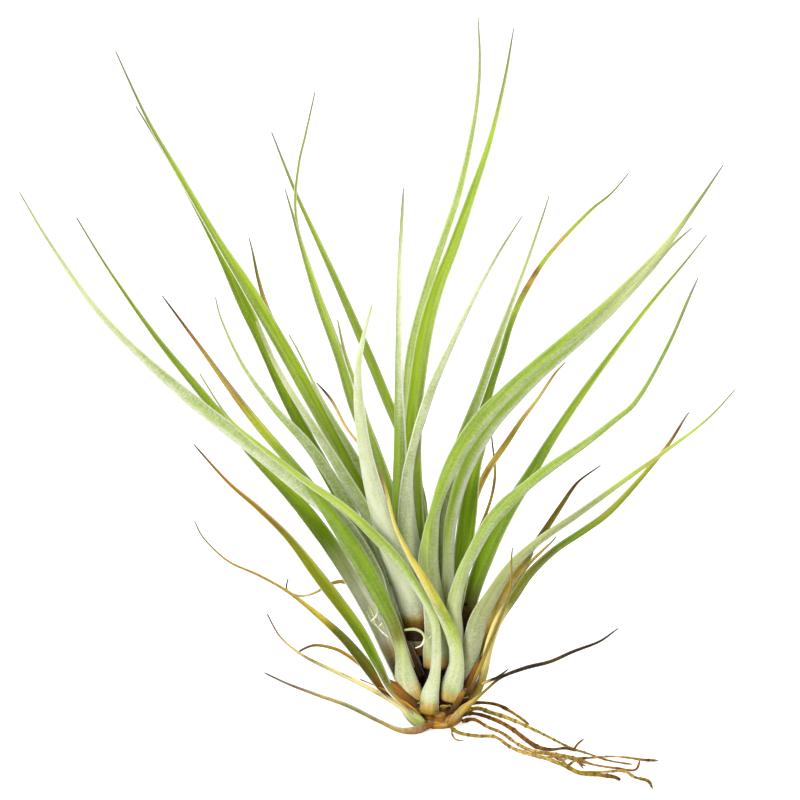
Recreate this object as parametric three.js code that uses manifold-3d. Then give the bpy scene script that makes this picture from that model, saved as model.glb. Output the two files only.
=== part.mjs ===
// An air plant: a rosette of narrow channelled leaves round a short stem, with its dry lower leaves and wiry roots.
// Millimetres, +Z up. The origin is the centre of the stem's flat underside, which stands on the surface.
import * as THREE from "three";
import Module from "manifold-3d";

const wasm = await Module();
wasm.setup();

// Driving sizes.
const viewTilt = THREE.MathUtils.degToRad(20); // the leaves are drawn as seen from the front, from this far above
const viewDistance = 1500; // and from this far away, so what stands nearer is drawn larger
const viewCentre = { across: -12.7, up: 106.7 };
const bladeEdge = 0.6; // thickness at a leaf's two edges
const bladeRib = 1.0; // thickness along its middle
const bladeTip = 0.7; // narrowest width, at the tip
const seatGap = 0.3; // clearance between one piece and the next
const ringStep = 11; // distance between a leaf's cross-sections
const rootStep = 5;
const cupDepth = 0.2; // how deep a leaf is channelled, as a share of its width
const stemProfile = [ // radius, height
  [7.4, 0], [8.3, 1.2], [8.4, 3.2], [7.4, 7], [5.9, 12], [4.6, 18], [3.4, 25], [1.8, 31], [0.001, 33],
];

const tilt = { sin: Math.sin(viewTilt), cos: Math.cos(viewTilt) };

const finish = {
  green: { color: 0x8fae3c, roughness: 0.62, metalness: 0 },
  silver: { color: 0xb9c9a0, roughness: 0.75, metalness: 0 },
  gold: { color: 0xc9a63a, roughness: 0.6, metalness: 0 },
  dry: { color: 0x8a6a3a, roughness: 0.8, metalness: 0 },
  bark: { color: 0x6d4a26, roughness: 0.9, metalness: 0 },
  root: { color: 0xa07a45, roughness: 0.85, metalness: 0 },
};

// Every leaf, seen from the front: [across, up, width] from its base to its tip.
// depth is how far forward of the stem's middle its base and its tip stand, and bend how late it leaves its base depth.
// shows is the face that is seen, and turn how far the blade is rolled from facing the viewer, in degrees.
const leaves = [
  { name: "leaf_front_1", kind: "silver", depth: [9.3, 50], bend: 2, shows: "outer", turn: 25, line: [
    [-3, 2, 6.5], [-2.6, 8, 5.5], [-1, 15, 3.4], [-0.5, 24, 3.1], [-1.2, 33, 2.8], [-5.5, 42, 2.8],
    [-15, 55, 3.6], [-30, 69.7, 2.7], [-45, 80.4, 2], [-60, 92, 1.4], [-70, 101, 0.7], [-79.5, 115.5, 0.4]] },
  { name: "leaf_front_2", kind: "gold", depth: [8.6, 26], bend: 1, shows: "outer", turn: 25, line: [
    [4.2, 6, 7], [4.8, 11, 7], [6.3, 19, 4.6], [5.2, 27, 4.4], [1.5, 35.5, 3.8], [-3.6, 45, 3.1],
    [-9.2, 55, 2.1], [-13.6, 65, 1.3], [-17, 75.5, 0.9], [-19.6, 82, 0.9], [-23.5, 88.5, 0.9],
    [-30.4, 97.2, 0.9], [-35.3, 106.3, 0.9], [-40.5, 112.5, 0.4]] },
  { name: "leaf_front_3", kind: "silver", depth: [3.5, 66], bend: 1.6, shows: "outer", turn: 20, line: [
    [-6.8, 26.5, 9.6], [-7.6, 35, 10.7], [-10.9, 46, 9.6], [-15.4, 57.5, 7.8], [-20.4, 73, 6], [-24.4, 90, 4.2],
    [-26.3, 105, 3.2], [-26.5, 118, 2], [-25, 127, 1.3], [-22, 138.5, 0.5]] },
  { name: "leaf_left_1", kind: "green", depth: [6.3, 38], bend: 1.2, shows: "outer", turn: 30, line: [
    [-7, 6, 7], [-10.5, 13, 6.2], [-12, 22, 4], [-14.5, 31, 4.4], [-20.5, 43.5, 5.7], [-28.2, 57, 6],
    [-36.5, 69.5, 4.3], [-45, 81, 3.2], [-60, 98.5, 2.9], [-70, 111.5, 2], [-80, 125.3, 1.1],
    [-92, 141.5, 0.4]] },
  { name: "leaf_left_2", kind: "silver", depth: [3.8, 22], bend: 1.1, shows: "outer", turn: 40, line: [
    [-8.5, 10, 4], [-10, 18, 4.6], [-14.6, 31, 4.2], [-18.6, 41, 4.7], [-22, 50.5, 5], [-31, 65, 4.8],
    [-44, 76, 4.5], [-60, 89.5, 4.5], [-80, 105, 4.2], [-100, 122.5, 2.6], [-115, 138.5, 1.9], [-130, 160, 0.9],
    [-139.5, 176, 0.4]] },
  { name: "leaf_left_3", kind: "green", depth: [0.5, -12], bend: 1, shows: "inner", turn: 40, line: [
    [-7, 7, 4.2], [-12, 14, 3.8], [-16.8, 23, 3.8], [-21.9, 34, 5.2], [-29.2, 47, 6.2], [-38.3, 60.5, 6.1],
    [-49.6, 75, 4.8], [-62, 89, 3.2], [-80, 110.5, 2.6], [-95, 129, 1.6], [-110, 150.5, 0.8],
    [-120.5, 167.5, 0.4]] },
  { name: "leaf_left_4", kind: "green", depth: [7, 25], bend: 1.2, shows: "inner", turn: 35, line: [
    [-8, 3.5, 2.5], [-15.5, 10, 2.2], [-19.5, 19, 2.8], [-26, 31, 3.6], [-38, 47.5, 3.6], [-50, 61, 2.3],
    [-60, 70.7, 1.7], [-70, 79.3, 1], [-81.5, 92, 0.4]] },
  { name: "leaf_left_5", kind: "gold", depth: [4.5, 12], bend: 1.2, shows: "inner", turn: 35, line: [
    [-9, 5, 2.5], [-16.5, 9.5, 3.4], [-22, 16, 3.8], [-31, 26.8, 2.8], [-40, 35, 1.8], [-50, 42.8, 1],
    [-60, 48.4, 0.8], [-70, 53, 0.6], [-78, 60.5, 0.4], [-81.2, 66.5, 0.3]] },
  { name: "dry_curl_1", kind: "dry", depth: [-1, -18], bend: 1, shows: "inner", turn: 30, line: [
    [-7, 10, 1.5], [-18, 26, 1.4], [-26.5, 42, 1], [-31, 46, 0.9], [-36, 45.4, 0.8], [-41, 42.5, 0.7],
    [-46, 41.4, 0.6], [-50.3, 43.4, 0.5], [-50, 47.2, 0.4]] },
  { name: "dry_leaf_left_1", kind: "dry", depth: [9.5, -2], bend: 1, shows: "outer", turn: 30, line: [
    [-4.6, -1.4, 2.2], [-6.8, -0.2, 4], [-9.6, 2, 3.8], [-13, 5, 2.4], [-25, 11.7, 1.5], [-35, 16.5, 1.3],
    [-45, 21.5, 0.9], [-52.5, 27.6, 0.6], [-57, 35.5, 0.4]] },
  { name: "dry_curl_2", kind: "dry", depth: [1.5, -14], bend: 1, shows: "inner", turn: 30, line: [
    [-8, 5, 1.6], [-18, 12, 1.4], [-24, 17, 1.3], [-30.3, 21.7, 1.1], [-35, 24, 1], [-41, 25, 0.8],
    [-45.5, 23.4, 0.6], [-46.8, 22, 0.4]] },
  { name: "leaf_high_1", kind: "green", depth: [-5.5, -48], bend: 1.1, shows: "inner", turn: 35, line: [
    [-6, 8, 7.5], [-7.5, 17, 7], [-12, 32, 4.5], [-19, 50, 4.5], [-27, 65, 4.3], [-39, 86, 4.2],
    [-50, 106.5, 3.8], [-59, 126.5, 3.6], [-65, 139.5, 4], [-74, 158, 2.3], [-86, 180.5, 1.4],
    [-100.8, 204.7, 0.4]] },
  { name: "leaf_high_2", kind: "green", depth: [-1.5, -28], bend: 1.1, shows: "inner", turn: 30, line: [
    [-4, 20, 4], [-10, 36, 4.2], [-18, 60, 4.2], [-30, 85, 4.1], [-40, 103.3, 4.8], [-51, 123, 4.6],
    [-63, 143.5, 4], [-74, 161, 2.3], [-86, 181.5, 1.8], [-97, 200.5, 1], [-107.5, 223, 0.4]] },
  { name: "leaf_high_3", kind: "silver", depth: [2, 12], bend: 1.1, shows: "outer", turn: 30, line: [
    [-4.5, 22, 4.5], [-12, 42, 4.6], [-20, 62, 4.4], [-28, 76, 3.8], [-38.5, 93, 2.8], [-49, 109.5, 1.9],
    [-55, 120.3, 1.4], [-60.7, 133, 0.4]] },
  { name: "leaf_high_4", kind: "silver", depth: [0, -10], bend: 1, shows: "outer", turn: 35, line: [
    [-3.5, 26, 3], [-10, 50, 3], [-20, 73, 2.8], [-28, 88, 2.5], [-38, 105.5, 1.2], [-46, 121.8, 0.6],
    [-49.8, 128.7, 0.35]] },
  { name: "leaf_high_5", kind: "green", depth: [1.5, 4], bend: 1, shows: "outer", turn: 40, line: [
    [-6, 14, 4], [-13, 30, 4.4], [-21, 52, 4.4], [-32, 75, 4], [-43, 91.3, 3.2], [-55, 104.6, 2],
    [-65, 118.3, 1.1], [-72, 133, 0.6], [-74.2, 141, 0.35]] },
  { name: "leaf_high_6", kind: "gold", depth: [-4, -62], bend: 1.1, shows: "inner", turn: 35, line: [
    [-4, 24, 2], [-16, 58, 2.2], [-28, 85, 2], [-40, 107, 1.8], [-50, 126, 1.6], [-56.5, 137.5, 1.5],
    [-59.8, 146.5, 1.1], [-61.8, 156, 0.6], [-63, 160.7, 0.35]] },
  { name: "leaf_centre_1", kind: "green", depth: [-8, -75], bend: 1.1, shows: "inner", turn: 30, line: [
    [-1, 7, 9], [-1.5, 16, 8.5], [-3, 32, 5.5], [-5, 58, 4.2], [-8, 78, 4], [-11.5, 93.5, 3.7],
    [-16.3, 105, 3.4], [-22.5, 120, 3.2], [-32, 142, 2.5], [-39.5, 158.5, 1.9], [-47.3, 175.5, 1.2],
    [-55.5, 196, 0.4]] },
  { name: "leaf_centre_2", kind: "green", depth: [-6.5, -60], bend: 1.1, shows: "inner", turn: 35, line: [
    [-4, 13, 8], [-4.2, 22, 6.5], [-5.8, 38, 4.5], [-9, 55, 3.2], [-17, 80, 3], [-24, 99, 2.8], [-29, 112, 2.6],
    [-31.8, 120, 2.4], [-35.8, 131, 2.1], [-40.3, 143, 1.6], [-44.2, 154.5, 1.1], [-46.8, 164.5, 0.9],
    [-47.6, 174, 0.9], [-46.3, 186, 0.8], [-44.2, 195, 0.7], [-41, 209.5, 0.35]] },
  { name: "leaf_centre_3", kind: "green", depth: [-2.5, -42], bend: 1.1, shows: "inner", turn: 30, line: [
    [-3, 27, 4], [-9, 52, 4.2], [-17.5, 78, 4], [-23, 92, 3.8], [-28.5, 106, 3.4], [-32.7, 120, 3],
    [-36.2, 130, 2.9], [-39.8, 140, 2.8], [-43, 150, 2.2], [-46, 160, 1.5], [-48.3, 168, 0.9],
    [-51, 177, 0.35]] },
  { name: "leaf_centre_4", kind: "silver", depth: [-1, -12], bend: 1.1, shows: "inner", turn: 30, line: [
    [-3, 28, 4.5], [-8, 48, 4.8], [-13.8, 66.5, 4.7], [-19.2, 84.5, 4], [-23, 95.5, 3], [-27.3, 111, 1.8],
    [-31, 122, 1.2], [-33.5, 133.5, 0.4]] },
  { name: "leaf_centre_5", kind: "silver", depth: [0.6, 14], bend: 1.2, shows: "outer", turn: 25, line: [
    [-4, 29, 4.8], [-9, 46, 5], [-12, 60, 5], [-12.8, 75, 4.6], [-12.6, 92, 4], [-13, 110, 2.8],
    [-13, 130, 2.1], [-12.8, 150, 1.5], [-12, 168, 0.9], [-11.5, 177.3, 0.35]] },
  { name: "leaf_centre_6", kind: "silver", depth: [3, 35], bend: 1.2, shows: "outer", turn: 25, line: [
    [-3, 30, 5.6], [-5.5, 44, 6.4], [-8.6, 55, 6.6], [-10.3, 65, 6], [-10.7, 73, 4.7], [-10.2, 82, 3.4],
    [-8.4, 91, 2.6], [-5.4, 101, 3.1], [-1.8, 111.5, 2.9], [4, 124.5, 2.1], [12, 141, 1.3], [20, 155.5, 0.8],
    [28, 168, 0.35]] },
  { name: "leaf_tall_1", kind: "green", depth: [-6.5, -50], bend: 1.1, shows: "inner", turn: 30, line: [
    [1.5, 16, 8], [0, 27, 6.5], [-3.2, 42, 5], [-6, 58, 4.4], [-9, 78, 4.2], [-10.4, 98, 3.8], [-9.6, 118, 3.6],
    [-6.9, 132, 3.4], [-2.4, 148, 3], [2, 161, 2.6], [6.6, 175, 2.4], [10.2, 190, 1.9], [13, 206, 1.3],
    [13.9, 220, 0.9], [13.3, 234.3, 0.35]] },
  { name: "leaf_tall_2", kind: "green", depth: [-1, -15], bend: 1.1, shows: "inner", turn: 20, line: [
    [-0.5, 33, 4.6], [-5, 58, 5], [-7.8, 78, 5.2], [-8.6, 96, 5.2], [-7.3, 110, 5.2], [-4.4, 129, 5],
    [-0.2, 144, 4.2], [5, 157.5, 3.7], [11, 174.5, 2.9], [17.2, 193, 1.8], [22, 212.5, 1.1],
    [25.2, 230.6, 0.35]] },
  { name: "leaf_centre_7", kind: "green", depth: [0, 6], bend: 1, shows: "inner", turn: 25, line: [
    [-2, 32, 4], [-4.5, 48, 4], [-6, 60, 3.8], [-6.8, 72, 3.6], [-7, 82, 3.1], [-6.5, 90, 1.8],
    [-5.6, 96, 0.4]] },
  { name: "leaf_centre_8", kind: "green", depth: [-1.5, -6], bend: 1, shows: "inner", turn: 25, line: [
    [-1, 33, 3], [-3, 52, 2.8], [-4.2, 64, 2.4], [-4.7, 73, 1.7], [-5.6, 79.5, 0.4]] },
  { name: "leaf_right_1", kind: "green", depth: [-5, -35], bend: 1.1, shows: "inner", turn: 30, line: [
    [5.5, 12, 7.5], [3.8, 22, 6.5], [1.4, 36, 5], [-0.2, 50, 4.2], [0.4, 64, 4.2], [2.4, 76, 4], [6, 88, 3.8],
    [10, 99, 3.5], [14.3, 110, 3], [19.4, 125, 2.6], [24.9, 140, 1.5], [30.4, 155, 1], [35, 168.5, 0.6],
    [37, 174.8, 0.35]] },
  { name: "leaf_right_2", kind: "gold", depth: [-7.5, -60], bend: 1.1, shows: "inner", turn: 30, line: [
    [4.5, 9, 8.5], [4.2, 18, 7.5], [2.6, 34, 5], [1.6, 56, 3.6], [2.8, 68, 3.6], [5.4, 79, 3.6],
    [10.4, 93, 3.6], [15, 104, 3.4], [18.7, 115, 2.5], [21.5, 123, 2.1], [24.5, 133, 2], [29, 143, 2],
    [37, 155.3, 1.4], [50, 169.2, 1], [57.5, 175.4, 0.6], [63.5, 182.3, 0.35]] },
  { name: "leaf_right_3", kind: "green", depth: [5, 40], bend: 1.2, shows: "outer", turn: 30, line: [
    [-0.2, 17, 9.2], [-0.1, 22, 9.6], [-0.6, 30, 7.8], [-1.8, 41, 6.6], [-3.3, 53, 6.6], [-2.4, 63, 4.8],
    [-1.1, 69.7, 3.6], [1.2, 77, 4.1], [4.2, 84, 5], [8.2, 91.5, 5.5], [14, 99.6, 5.5], [21, 107.3, 4.8],
    [35, 120, 4.1], [50, 132.5, 3.9], [60, 142, 2.9], [75, 157.3, 2.2], [85, 170.5, 1.2], [95, 185, 0.35]] },
  { name: "leaf_right_4", kind: "silver", depth: [3, 12], bend: 1.1, shows: "outer", turn: 30, line: [
    [2.4, 26, 4], [3.3, 50, 3.8], [3.7, 62, 3.9], [5.2, 71, 4], [7.8, 80, 4.2], [12.3, 90, 4.6], [18.5, 99, 4],
    [26, 107, 3.2], [35, 116, 3], [50, 129.2, 2.7], [60, 138.6, 2], [70, 149, 1.4], [77, 157.3, 1],
    [84.7, 164.2, 0.35]] },
  { name: "dry_leaf_right_1", kind: "dry", depth: [-2.5, -30], bend: 1, shows: "inner", turn: 30, line: [
    [3, 27, 3], [6.5, 48, 2.8], [9, 60, 2.4], [12, 73, 2.1], [16.2, 82.8, 2], [22.6, 92.2, 1.8],
    [28, 100.3, 1.4], [33.5, 107.5, 1], [38.5, 115, 0.7], [42.3, 119.2, 0.35]] },
  { name: "leaf_right_5", kind: "green", depth: [2, -20], bend: 1.1, shows: "inner", turn: 25, line: [
    [5, 16, 4.5], [8.5, 31, 5], [11.5, 43, 5.3], [16.8, 57, 5.4], [22.8, 69, 4.9], [30.2, 81, 4.1],
    [38.5, 94.7, 3], [48.9, 110, 2.4], [60, 125, 1.7], [71.7, 140, 1.2], [82, 152.3, 0.7],
    [89.5, 161.7, 0.35]] },
  { name: "leaf_right_6", kind: "green", depth: [0.5, -4], bend: 1, shows: "inner", turn: 15, line: [
    [3, 24, 4.5], [6.8, 45, 5.4], [8.8, 60, 6], [10.2, 71, 5.8], [11.6, 79, 4], [13.4, 85.5, 2.2],
    [15.8, 91.2, 0.4]] },
  { name: "leaf_right_7", kind: "green", depth: [6, 48], bend: 1.2, shows: "outer", turn: 30, line: [
    [5.8, 14, 4], [5.9, 28, 4.6], [5.3, 38, 4.8], [7.8, 48, 4], [11.9, 56.5, 4], [16.7, 65, 4.4],
    [22.5, 71.8, 4.5], [29, 77.7, 3.4], [37, 84, 3.2], [49.5, 92.7, 2.3], [60, 100.9, 1.8], [65, 105.2, 1.7],
    [70.6, 113.5, 1.3], [77.7, 127.1, 1.1], [83.8, 141.2, 0.8], [86.7, 147.5, 0.35]] },
  { name: "dry_curl_3", kind: "dry", depth: [-1, -28], bend: 1, shows: "inner", turn: 30, line: [
    [3.5, 24, 1.4], [8, 46, 1.4], [11.4, 58, 1.3], [13.8, 63.5, 1.2], [16, 69, 0.9], [17.8, 74.5, 0.8],
    [18.8, 80, 0.8], [18.9, 85, 0.6], [18.2, 91, 0.5], [17.8, 95, 0.4]] },
  { name: "dry_leaf_right_2", kind: "dry", depth: [-1, -30], bend: 1, shows: "inner", turn: 30, line: [
    [5, 14, 2.6], [14, 30, 2.4], [22, 44, 2.2], [28.5, 53.5, 2.1], [34.3, 61.5, 2], [40.5, 70.8, 1.5],
    [45, 77.5, 1], [48, 80.6, 0.6], [54.2, 84.9, 0.35]] },
  { name: "leaf_right_8", kind: "green", depth: [4.5, 55], bend: 1.2, shows: "outer", turn: 25, line: [
    [7.6, 9.5, 3.4], [10.3, 18.5, 5], [11.6, 26, 6.3], [13.8, 34, 6], [17.8, 41.5, 4.6], [24, 50.8, 3.5],
    [33, 59.3, 2.6], [47.6, 69.4, 2.1], [64, 81.3, 1.6], [75.3, 89.3, 1.2], [89.8, 100.4, 0.7],
    [99, 110.2, 0.35]] },
  { name: "dry_leaf_right_3", kind: "dry", depth: [1, -5], bend: 1, shows: "outer", turn: 20, line: [
    [7, 8, 2.4], [13.7, 18, 2.6], [17, 29, 3.6], [20.5, 39, 3.2], [24.7, 46.5, 2.6], [29.2, 52.4, 1.6],
    [31.7, 55.8, 0.5]] },
  { name: "dry_leaf_right_4", kind: "dry", depth: [2, 12], bend: 1, shows: "outer", turn: 20, line: [
    [8, 6.5, 1.5], [16, 24, 1.2], [22.3, 38, 1], [26.5, 46.5, 1], [30.5, 52.2, 1], [35, 56.7, 0.8],
    [38, 59.5, 0.5], [39.3, 61.2, 0.35]] },
  { name: "leaf_right_9", kind: "green", depth: [3.6, 30], bend: 1.2, shows: "outer", turn: 30, line: [
    [7.5, 4, 3], [12, 8.5, 2.8], [15, 15, 2.4], [16.8, 24, 2.8], [20, 33, 2.9], [25.5, 41.5, 3],
    [30.6, 48.9, 2.8], [39.1, 56.9, 2.3], [49, 63.5, 2.2], [57.4, 69.8, 2.1], [67.3, 80.4, 1.5],
    [76.7, 91.9, 1.1], [82.3, 100.8, 0.6], [83.8, 102.6, 0.35]] },
  { name: "dry_leaf_right_5", kind: "dry", depth: [5.5, 26], bend: 1, shows: "outer", turn: 20, line: [
    [9, 5.5, 1.2], [17, 25, 1.1], [21.3, 35.5, 1], [23.8, 42, 0.8], [24.5, 48, 0.6], [24.4, 53, 0.5],
    [24.8, 57.4, 0.35]] },
  { name: "dry_leaf_right_6", kind: "dry", depth: [8.6, 16], bend: 1, shows: "outer", turn: 30, line: [
    [3.8, -1.4, 1.6], [7.4, 3, 2.6], [12.5, 7, 1.2], [17, 11, 0.8], [21.6, 14.6, 1], [29.7, 17.6, 1.3],
    [37.4, 19.5, 1.1], [45.1, 22.9, 1], [53.6, 26.1, 0.7], [58.8, 29.7, 0.45], [60.1, 30.6, 0.35]] },
];

// A leaf and roots that lie along the surface: [across, up, width, height of the middle above the surface].
const floorLeaf = { name: "dry_leaf_floor", kind: "dry", shows: "outer", turn: 60, line: [
  [-4.5, -2.4, 2, 1.6], [-8, -3, 2, 1.4], [-13, -3, 1.6, 1.3], [-20, 0, 1.3, 1.1], [-30, 5, 1.3, 1],
  [-40, 8.5, 0.9, 0.9], [-50, 12.2, 0.6, 0.8], [-57.8, 15.8, 0.4, 0.8]] };

const roots = [
  { name: "root_1", strands: [[
    [9, 4.6, 1.1, 4], [13.5, 5.8, 1.1, 3], [20, 5, 1.1, 2], [26, 1.7, 1, 1.3], [30.5, -1.6, 0.9, 0.8]]] },
  { name: "root_2", strands: [[
    [8, 2.6, 1.3, 3.4], [13, 3.9, 1.4, 2.4], [18, 2.4, 1.3, 1.6], [24, 0.4, 1.2, 1], [31.5, -3, 1, 0.8],
    [38, -6.2, 0.8, 0.6], [44, -9.2, 0.8, 0.6], [50, -11.2, 0.7, 0.6], [57, -13.5, 0.6, 0.5],
    [65, -14.8, 0.6, 0.5]]] },
  { name: "root_3", strands: [[
    [7.6, 1.6, 1.2, 2.2], [12, 2.2, 1.2, 1.6], [18, 0.5, 1.2, 1.1], [24, -2.5, 1.3, 0.8], [29, -6.3, 1.4, 0.8],
    [33, -8.9, 1.5, 0.8], [37.5, -9.8, 1.1, 0.7], [42, -9.4, 0.8, 0.6], [46.3, -10.3, 0.8, 0.6]],
    [[45.2, -10, 0.8, 0.6], [46.5, -8, 0.7, 1.6], [48.8, -6.1, 0.7, 3]]] },
  { name: "root_4", strands: [[
    [8.2, -0.4, 1.2, 1.6], [12, 0.2, 1.1, 1], [16.5, -2.3, 1, 0.8], [21.5, -4.4, 1, 0.7], [26.5, -8, 1, 0.7],
    [31.5, -10.3, 1.1, 0.7], [36, -11, 1.2, 0.8], [41, -11.8, 1.3, 0.8], [46.5, -13.1, 1.3, 0.8],
    [52, -14.9, 0.8, 0.6], [60, -16.1, 0.7, 0.6], [65.6, -16.6, 0.7, 0.6], [67.3, -13.4, 0.7, 0.6]],
    [[45.5, -12.9, 1, 0.7], [50, -12.6, 0.7, 0.6], [57, -12.1, 0.6, 0.5], [62.5, -12.4, 0.7, 0.5],
      [68, -13.2, 0.9, 0.6], [73.6, -13.5, 0.8, 0.5]]] },
  { name: "root_5", strands: [[
    [4.4, -2.6, 1.2, 1.4], [7.5, -4.4, 1.1, 0.9], [13.5, -5.3, 1.1, 0.7], [19, -5.6, 1.1, 0.7],
    [24.5, -9.2, 1.1, 0.7], [30, -11.2, 1.2, 0.7], [36, -12.8, 1.2, 0.8], [42, -15.1, 1.3, 0.8],
    [47, -17.5, 1.4, 0.8], [53, -18.2, 1.3, 0.8], [58.5, -18.9, 1.2, 0.7], [60.8, -20, 1, 0.6]],
    [[48, -17.5, 1, 0.7], [56, -17.2, 0.8, 0.6], [62, -17, 0.8, 0.6], [65.5, -19, 0.9, 0.6],
      [70, -20.3, 1, 0.6], [71.5, -23, 0.7, 0.5]]] },
];

// A drawn point that stands that many millimetres in front of the upright plane through the stem.
function place(across, up, forward) {
  const offUp = (up - viewCentre.up) / viewDistance;
  const tan = tilt.sin / tilt.cos;
  const near = (forward * tilt.cos + tan * (up + forward * tilt.sin)) / (1 + tan * offUp);
  const x = across - (across - viewCentre.across) * near / viewDistance;
  return new THREE.Vector3(x, -forward, (up - offUp * near + forward * tilt.sin) / tilt.cos);
}

// How far forward a drawn point lies if it is that high above the surface.
function forwardAtHeight(up, height) {
  const offUp = (up - viewCentre.up) / viewDistance;
  return (height * (tilt.cos + offUp * tilt.sin) - up) / (tilt.sin - offUp * tilt.cos);
}

// A smooth row of values through the given ones, read at a share of their length.
function smooth(values, share) {
  const points = values.map((v, i) => new THREE.Vector3(i, v, 0));
  const at = share * (values.length - 1);
  const i = Math.min(Math.floor(at), values.length - 2);
  const t = at - i;
  const v0 = points[Math.max(i - 1, 0)].y;
  const v1 = points[i].y;
  const v2 = points[i + 1].y;
  const v3 = points[Math.min(i + 2, values.length - 1)].y;
  const t2 = t * t;
  const t3 = t2 * t;
  return 0.5 * (2 * v1 + (v2 - v0) * t + (2 * v0 - 5 * v1 + 4 * v2 - v3) * t2 + (3 * v1 - v0 - 3 * v2 + v3) * t3);
}

// The share of a leaf's drawn length at each of its points.
function lengthShares(line) {
  const sums = [0];
  for (let i = 1; i < line.length; i++) {
    sums.push(sums[i - 1] + Math.hypot(line[i][0] - line[i - 1][0], line[i][1] - line[i - 1][1]));
  }
  return { shares: sums.map((s) => s / sums.at(-1)), length: sums.at(-1) };
}

// The cross-sections of a leaf: middle, side and inner-face directions, and width.
function leafStations(leaf, step) {
  const { shares, length } = lengthShares(leaf.line);
  const knots = leaf.line.map(([across, up, , height], i) => {
    const forward = leaf.depth
      ? leaf.depth[0] + (leaf.depth[1] - leaf.depth[0]) * shares[i] ** leaf.bend
      : forwardAtHeight(up, height);
    return [across, up, forward];
  });
  const count = Math.max(6, Math.round(length / step) + 3);
  const viewer = new THREE.Vector3(0, -tilt.cos, tilt.sin);
  const side = leaf.line.at(-1)[0] < 0 ? -1 : 1;
  const roll = THREE.MathUtils.degToRad(leaf.turn);
  const facing = leaf.shows === "inner" ? 1 : -1;
  const at = (share) => place(...[0, 1, 2].map((k) => smooth(knots.map((knot) => knot[k]), share)));
  const stations = [];
  for (let i = 0; i < count; i++) {
    const share = i / (count - 1);
    const middle = at(share);
    const ahead = at(Math.min(1, share + 0.004));
    const along = ahead.sub(at(Math.max(0, share - 0.004))).normalize();
    const across = new THREE.Vector3().crossVectors(along, viewer).normalize(); // to the right of an upright leaf
    const toViewer = new THREE.Vector3().crossVectors(across, along).normalize();
    const inner = toViewer.multiplyScalar(facing * Math.cos(roll)).addScaledVector(across, -side * Math.sin(roll));
    const edge = new THREE.Vector3().crossVectors(along, inner).normalize();
    const width = Math.max(bladeTip, smooth(leaf.line.map((p) => p[2]), share) / Math.cos(roll));
    stations.push({ middle, inner, edge, width });
  }
  return stations;
}

// The same cross-sections with the first and the last moved outwards by more.
function lengthened(stations, more) {
  const moved = (end, next) => {
    const out = end.middle.clone().sub(next.middle).setLength(more);
    return { ...end, middle: end.middle.clone().add(out) };
  };
  return [moved(stations[0], stations[1]), ...stations.slice(1, -1), moved(stations.at(-1), stations.at(-2))];
}

// A closed loft through rings of points, with a flat end at each side.
function loftSolid(rings) {
  const around = rings[0].length;
  const positions = rings.flat().flatMap((p) => [p.x, p.y, p.z]);
  const triangles = [];
  for (let i = 0; i < rings.length - 1; i++) {
    for (let j = 0; j < around; j++) {
      const a = i * around + j;
      const b = i * around + (j + 1) % around;
      triangles.push(a, b, b + around, a, b + around, a + around);
    }
  }
  const last = (rings.length - 1) * around;
  for (let lo = 0, hi = around - 1; hi - lo > 1; ) { // the ends are filled from side to side, so they may be hollow
    const [a, b, c] = [lo, lo + 1, hi];
    triangles.push(a, c, b, last + a, last + b, last + c);
    lo += 1;
    if (hi - lo > 1) {
      triangles.push(lo, hi, hi - 1, last + lo, last + hi - 1, last + hi);
      hi -= 1;
    }
  }
  const made = new wasm.Manifold(
    new wasm.Mesh({
      numProp: 3,
      vertProperties: new Float32Array(positions),
      triVerts: new Uint32Array(triangles),
    }),
  );
  return made.volume() < 0 ? loftSolid(rings.map((ring) => [...ring].reverse())) : made;
}

// A leaf's blade, channelled on its inner face; coat makes it that much thicker and longer all round.
function bladeSolid(stations, coat = 0) {
  const rings = lengthened(stations, coat).map(({ middle, inner, edge, width }) => {
    const half = width / 2 + coat;
    const rise = cupDepth * width;
    const edgeHalf = Math.min(bladeEdge, width) / 2 + coat;
    const ribHalf = Math.min(bladeRib, width) / 2 + coat;
    const point = (u, v) => middle.clone().addScaledVector(edge, u).addScaledVector(inner, v);
    return [
      point(-half, rise - edgeHalf), point(0, -ribHalf), point(half, rise - edgeHalf),
      point(half, rise + edgeHalf), point(0, ribHalf), point(-half, rise + edgeHalf),
    ];
  });
  return loftSolid(rings);
}

// A root: a thin five-sided tube along its points.
function rootSolid(line, coat = 0) {
  const sides = 5;
  const leaf = { line, shows: "inner", turn: 0 };
  const rings = lengthened(leafStations(leaf, rootStep), coat).map(({ middle, inner, edge, width }) => {
    const radius = width / 2 + coat;
    return Array.from({ length: sides }, (_, k) => {
      const angle = (2 * Math.PI * k) / sides;
      return middle.clone()
        .addScaledVector(edge, radius * Math.cos(angle))
        .addScaledVector(inner, radius * Math.sin(angle));
    });
  });
  return loftSolid(rings);
}

// The short stem, flat underneath.
function stemSolid(coat = 0) {
  const sides = 18;
  const rings = stemProfile.map(([radius, height], i) => {
    const r = radius + coat;
    const z = height + (i === 0 ? -coat : coat);
    return Array.from({ length: sides }, (_, k) => {
      const angle = (2 * Math.PI * k) / sides;
      return new THREE.Vector3(r * Math.cos(angle), r * Math.sin(angle), z);
    });
  });
  return loftSolid(rings);
}

function largestBody(solid) {
  return solid.decompose().reduce((best, body) => (body.volume() > best.volume() ? body : best));
}

function overlaps(a, b) {
  return [0, 1, 2].every((k) => a.min[k] < b.max[k] && b.min[k] < a.max[k]);
}

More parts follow.
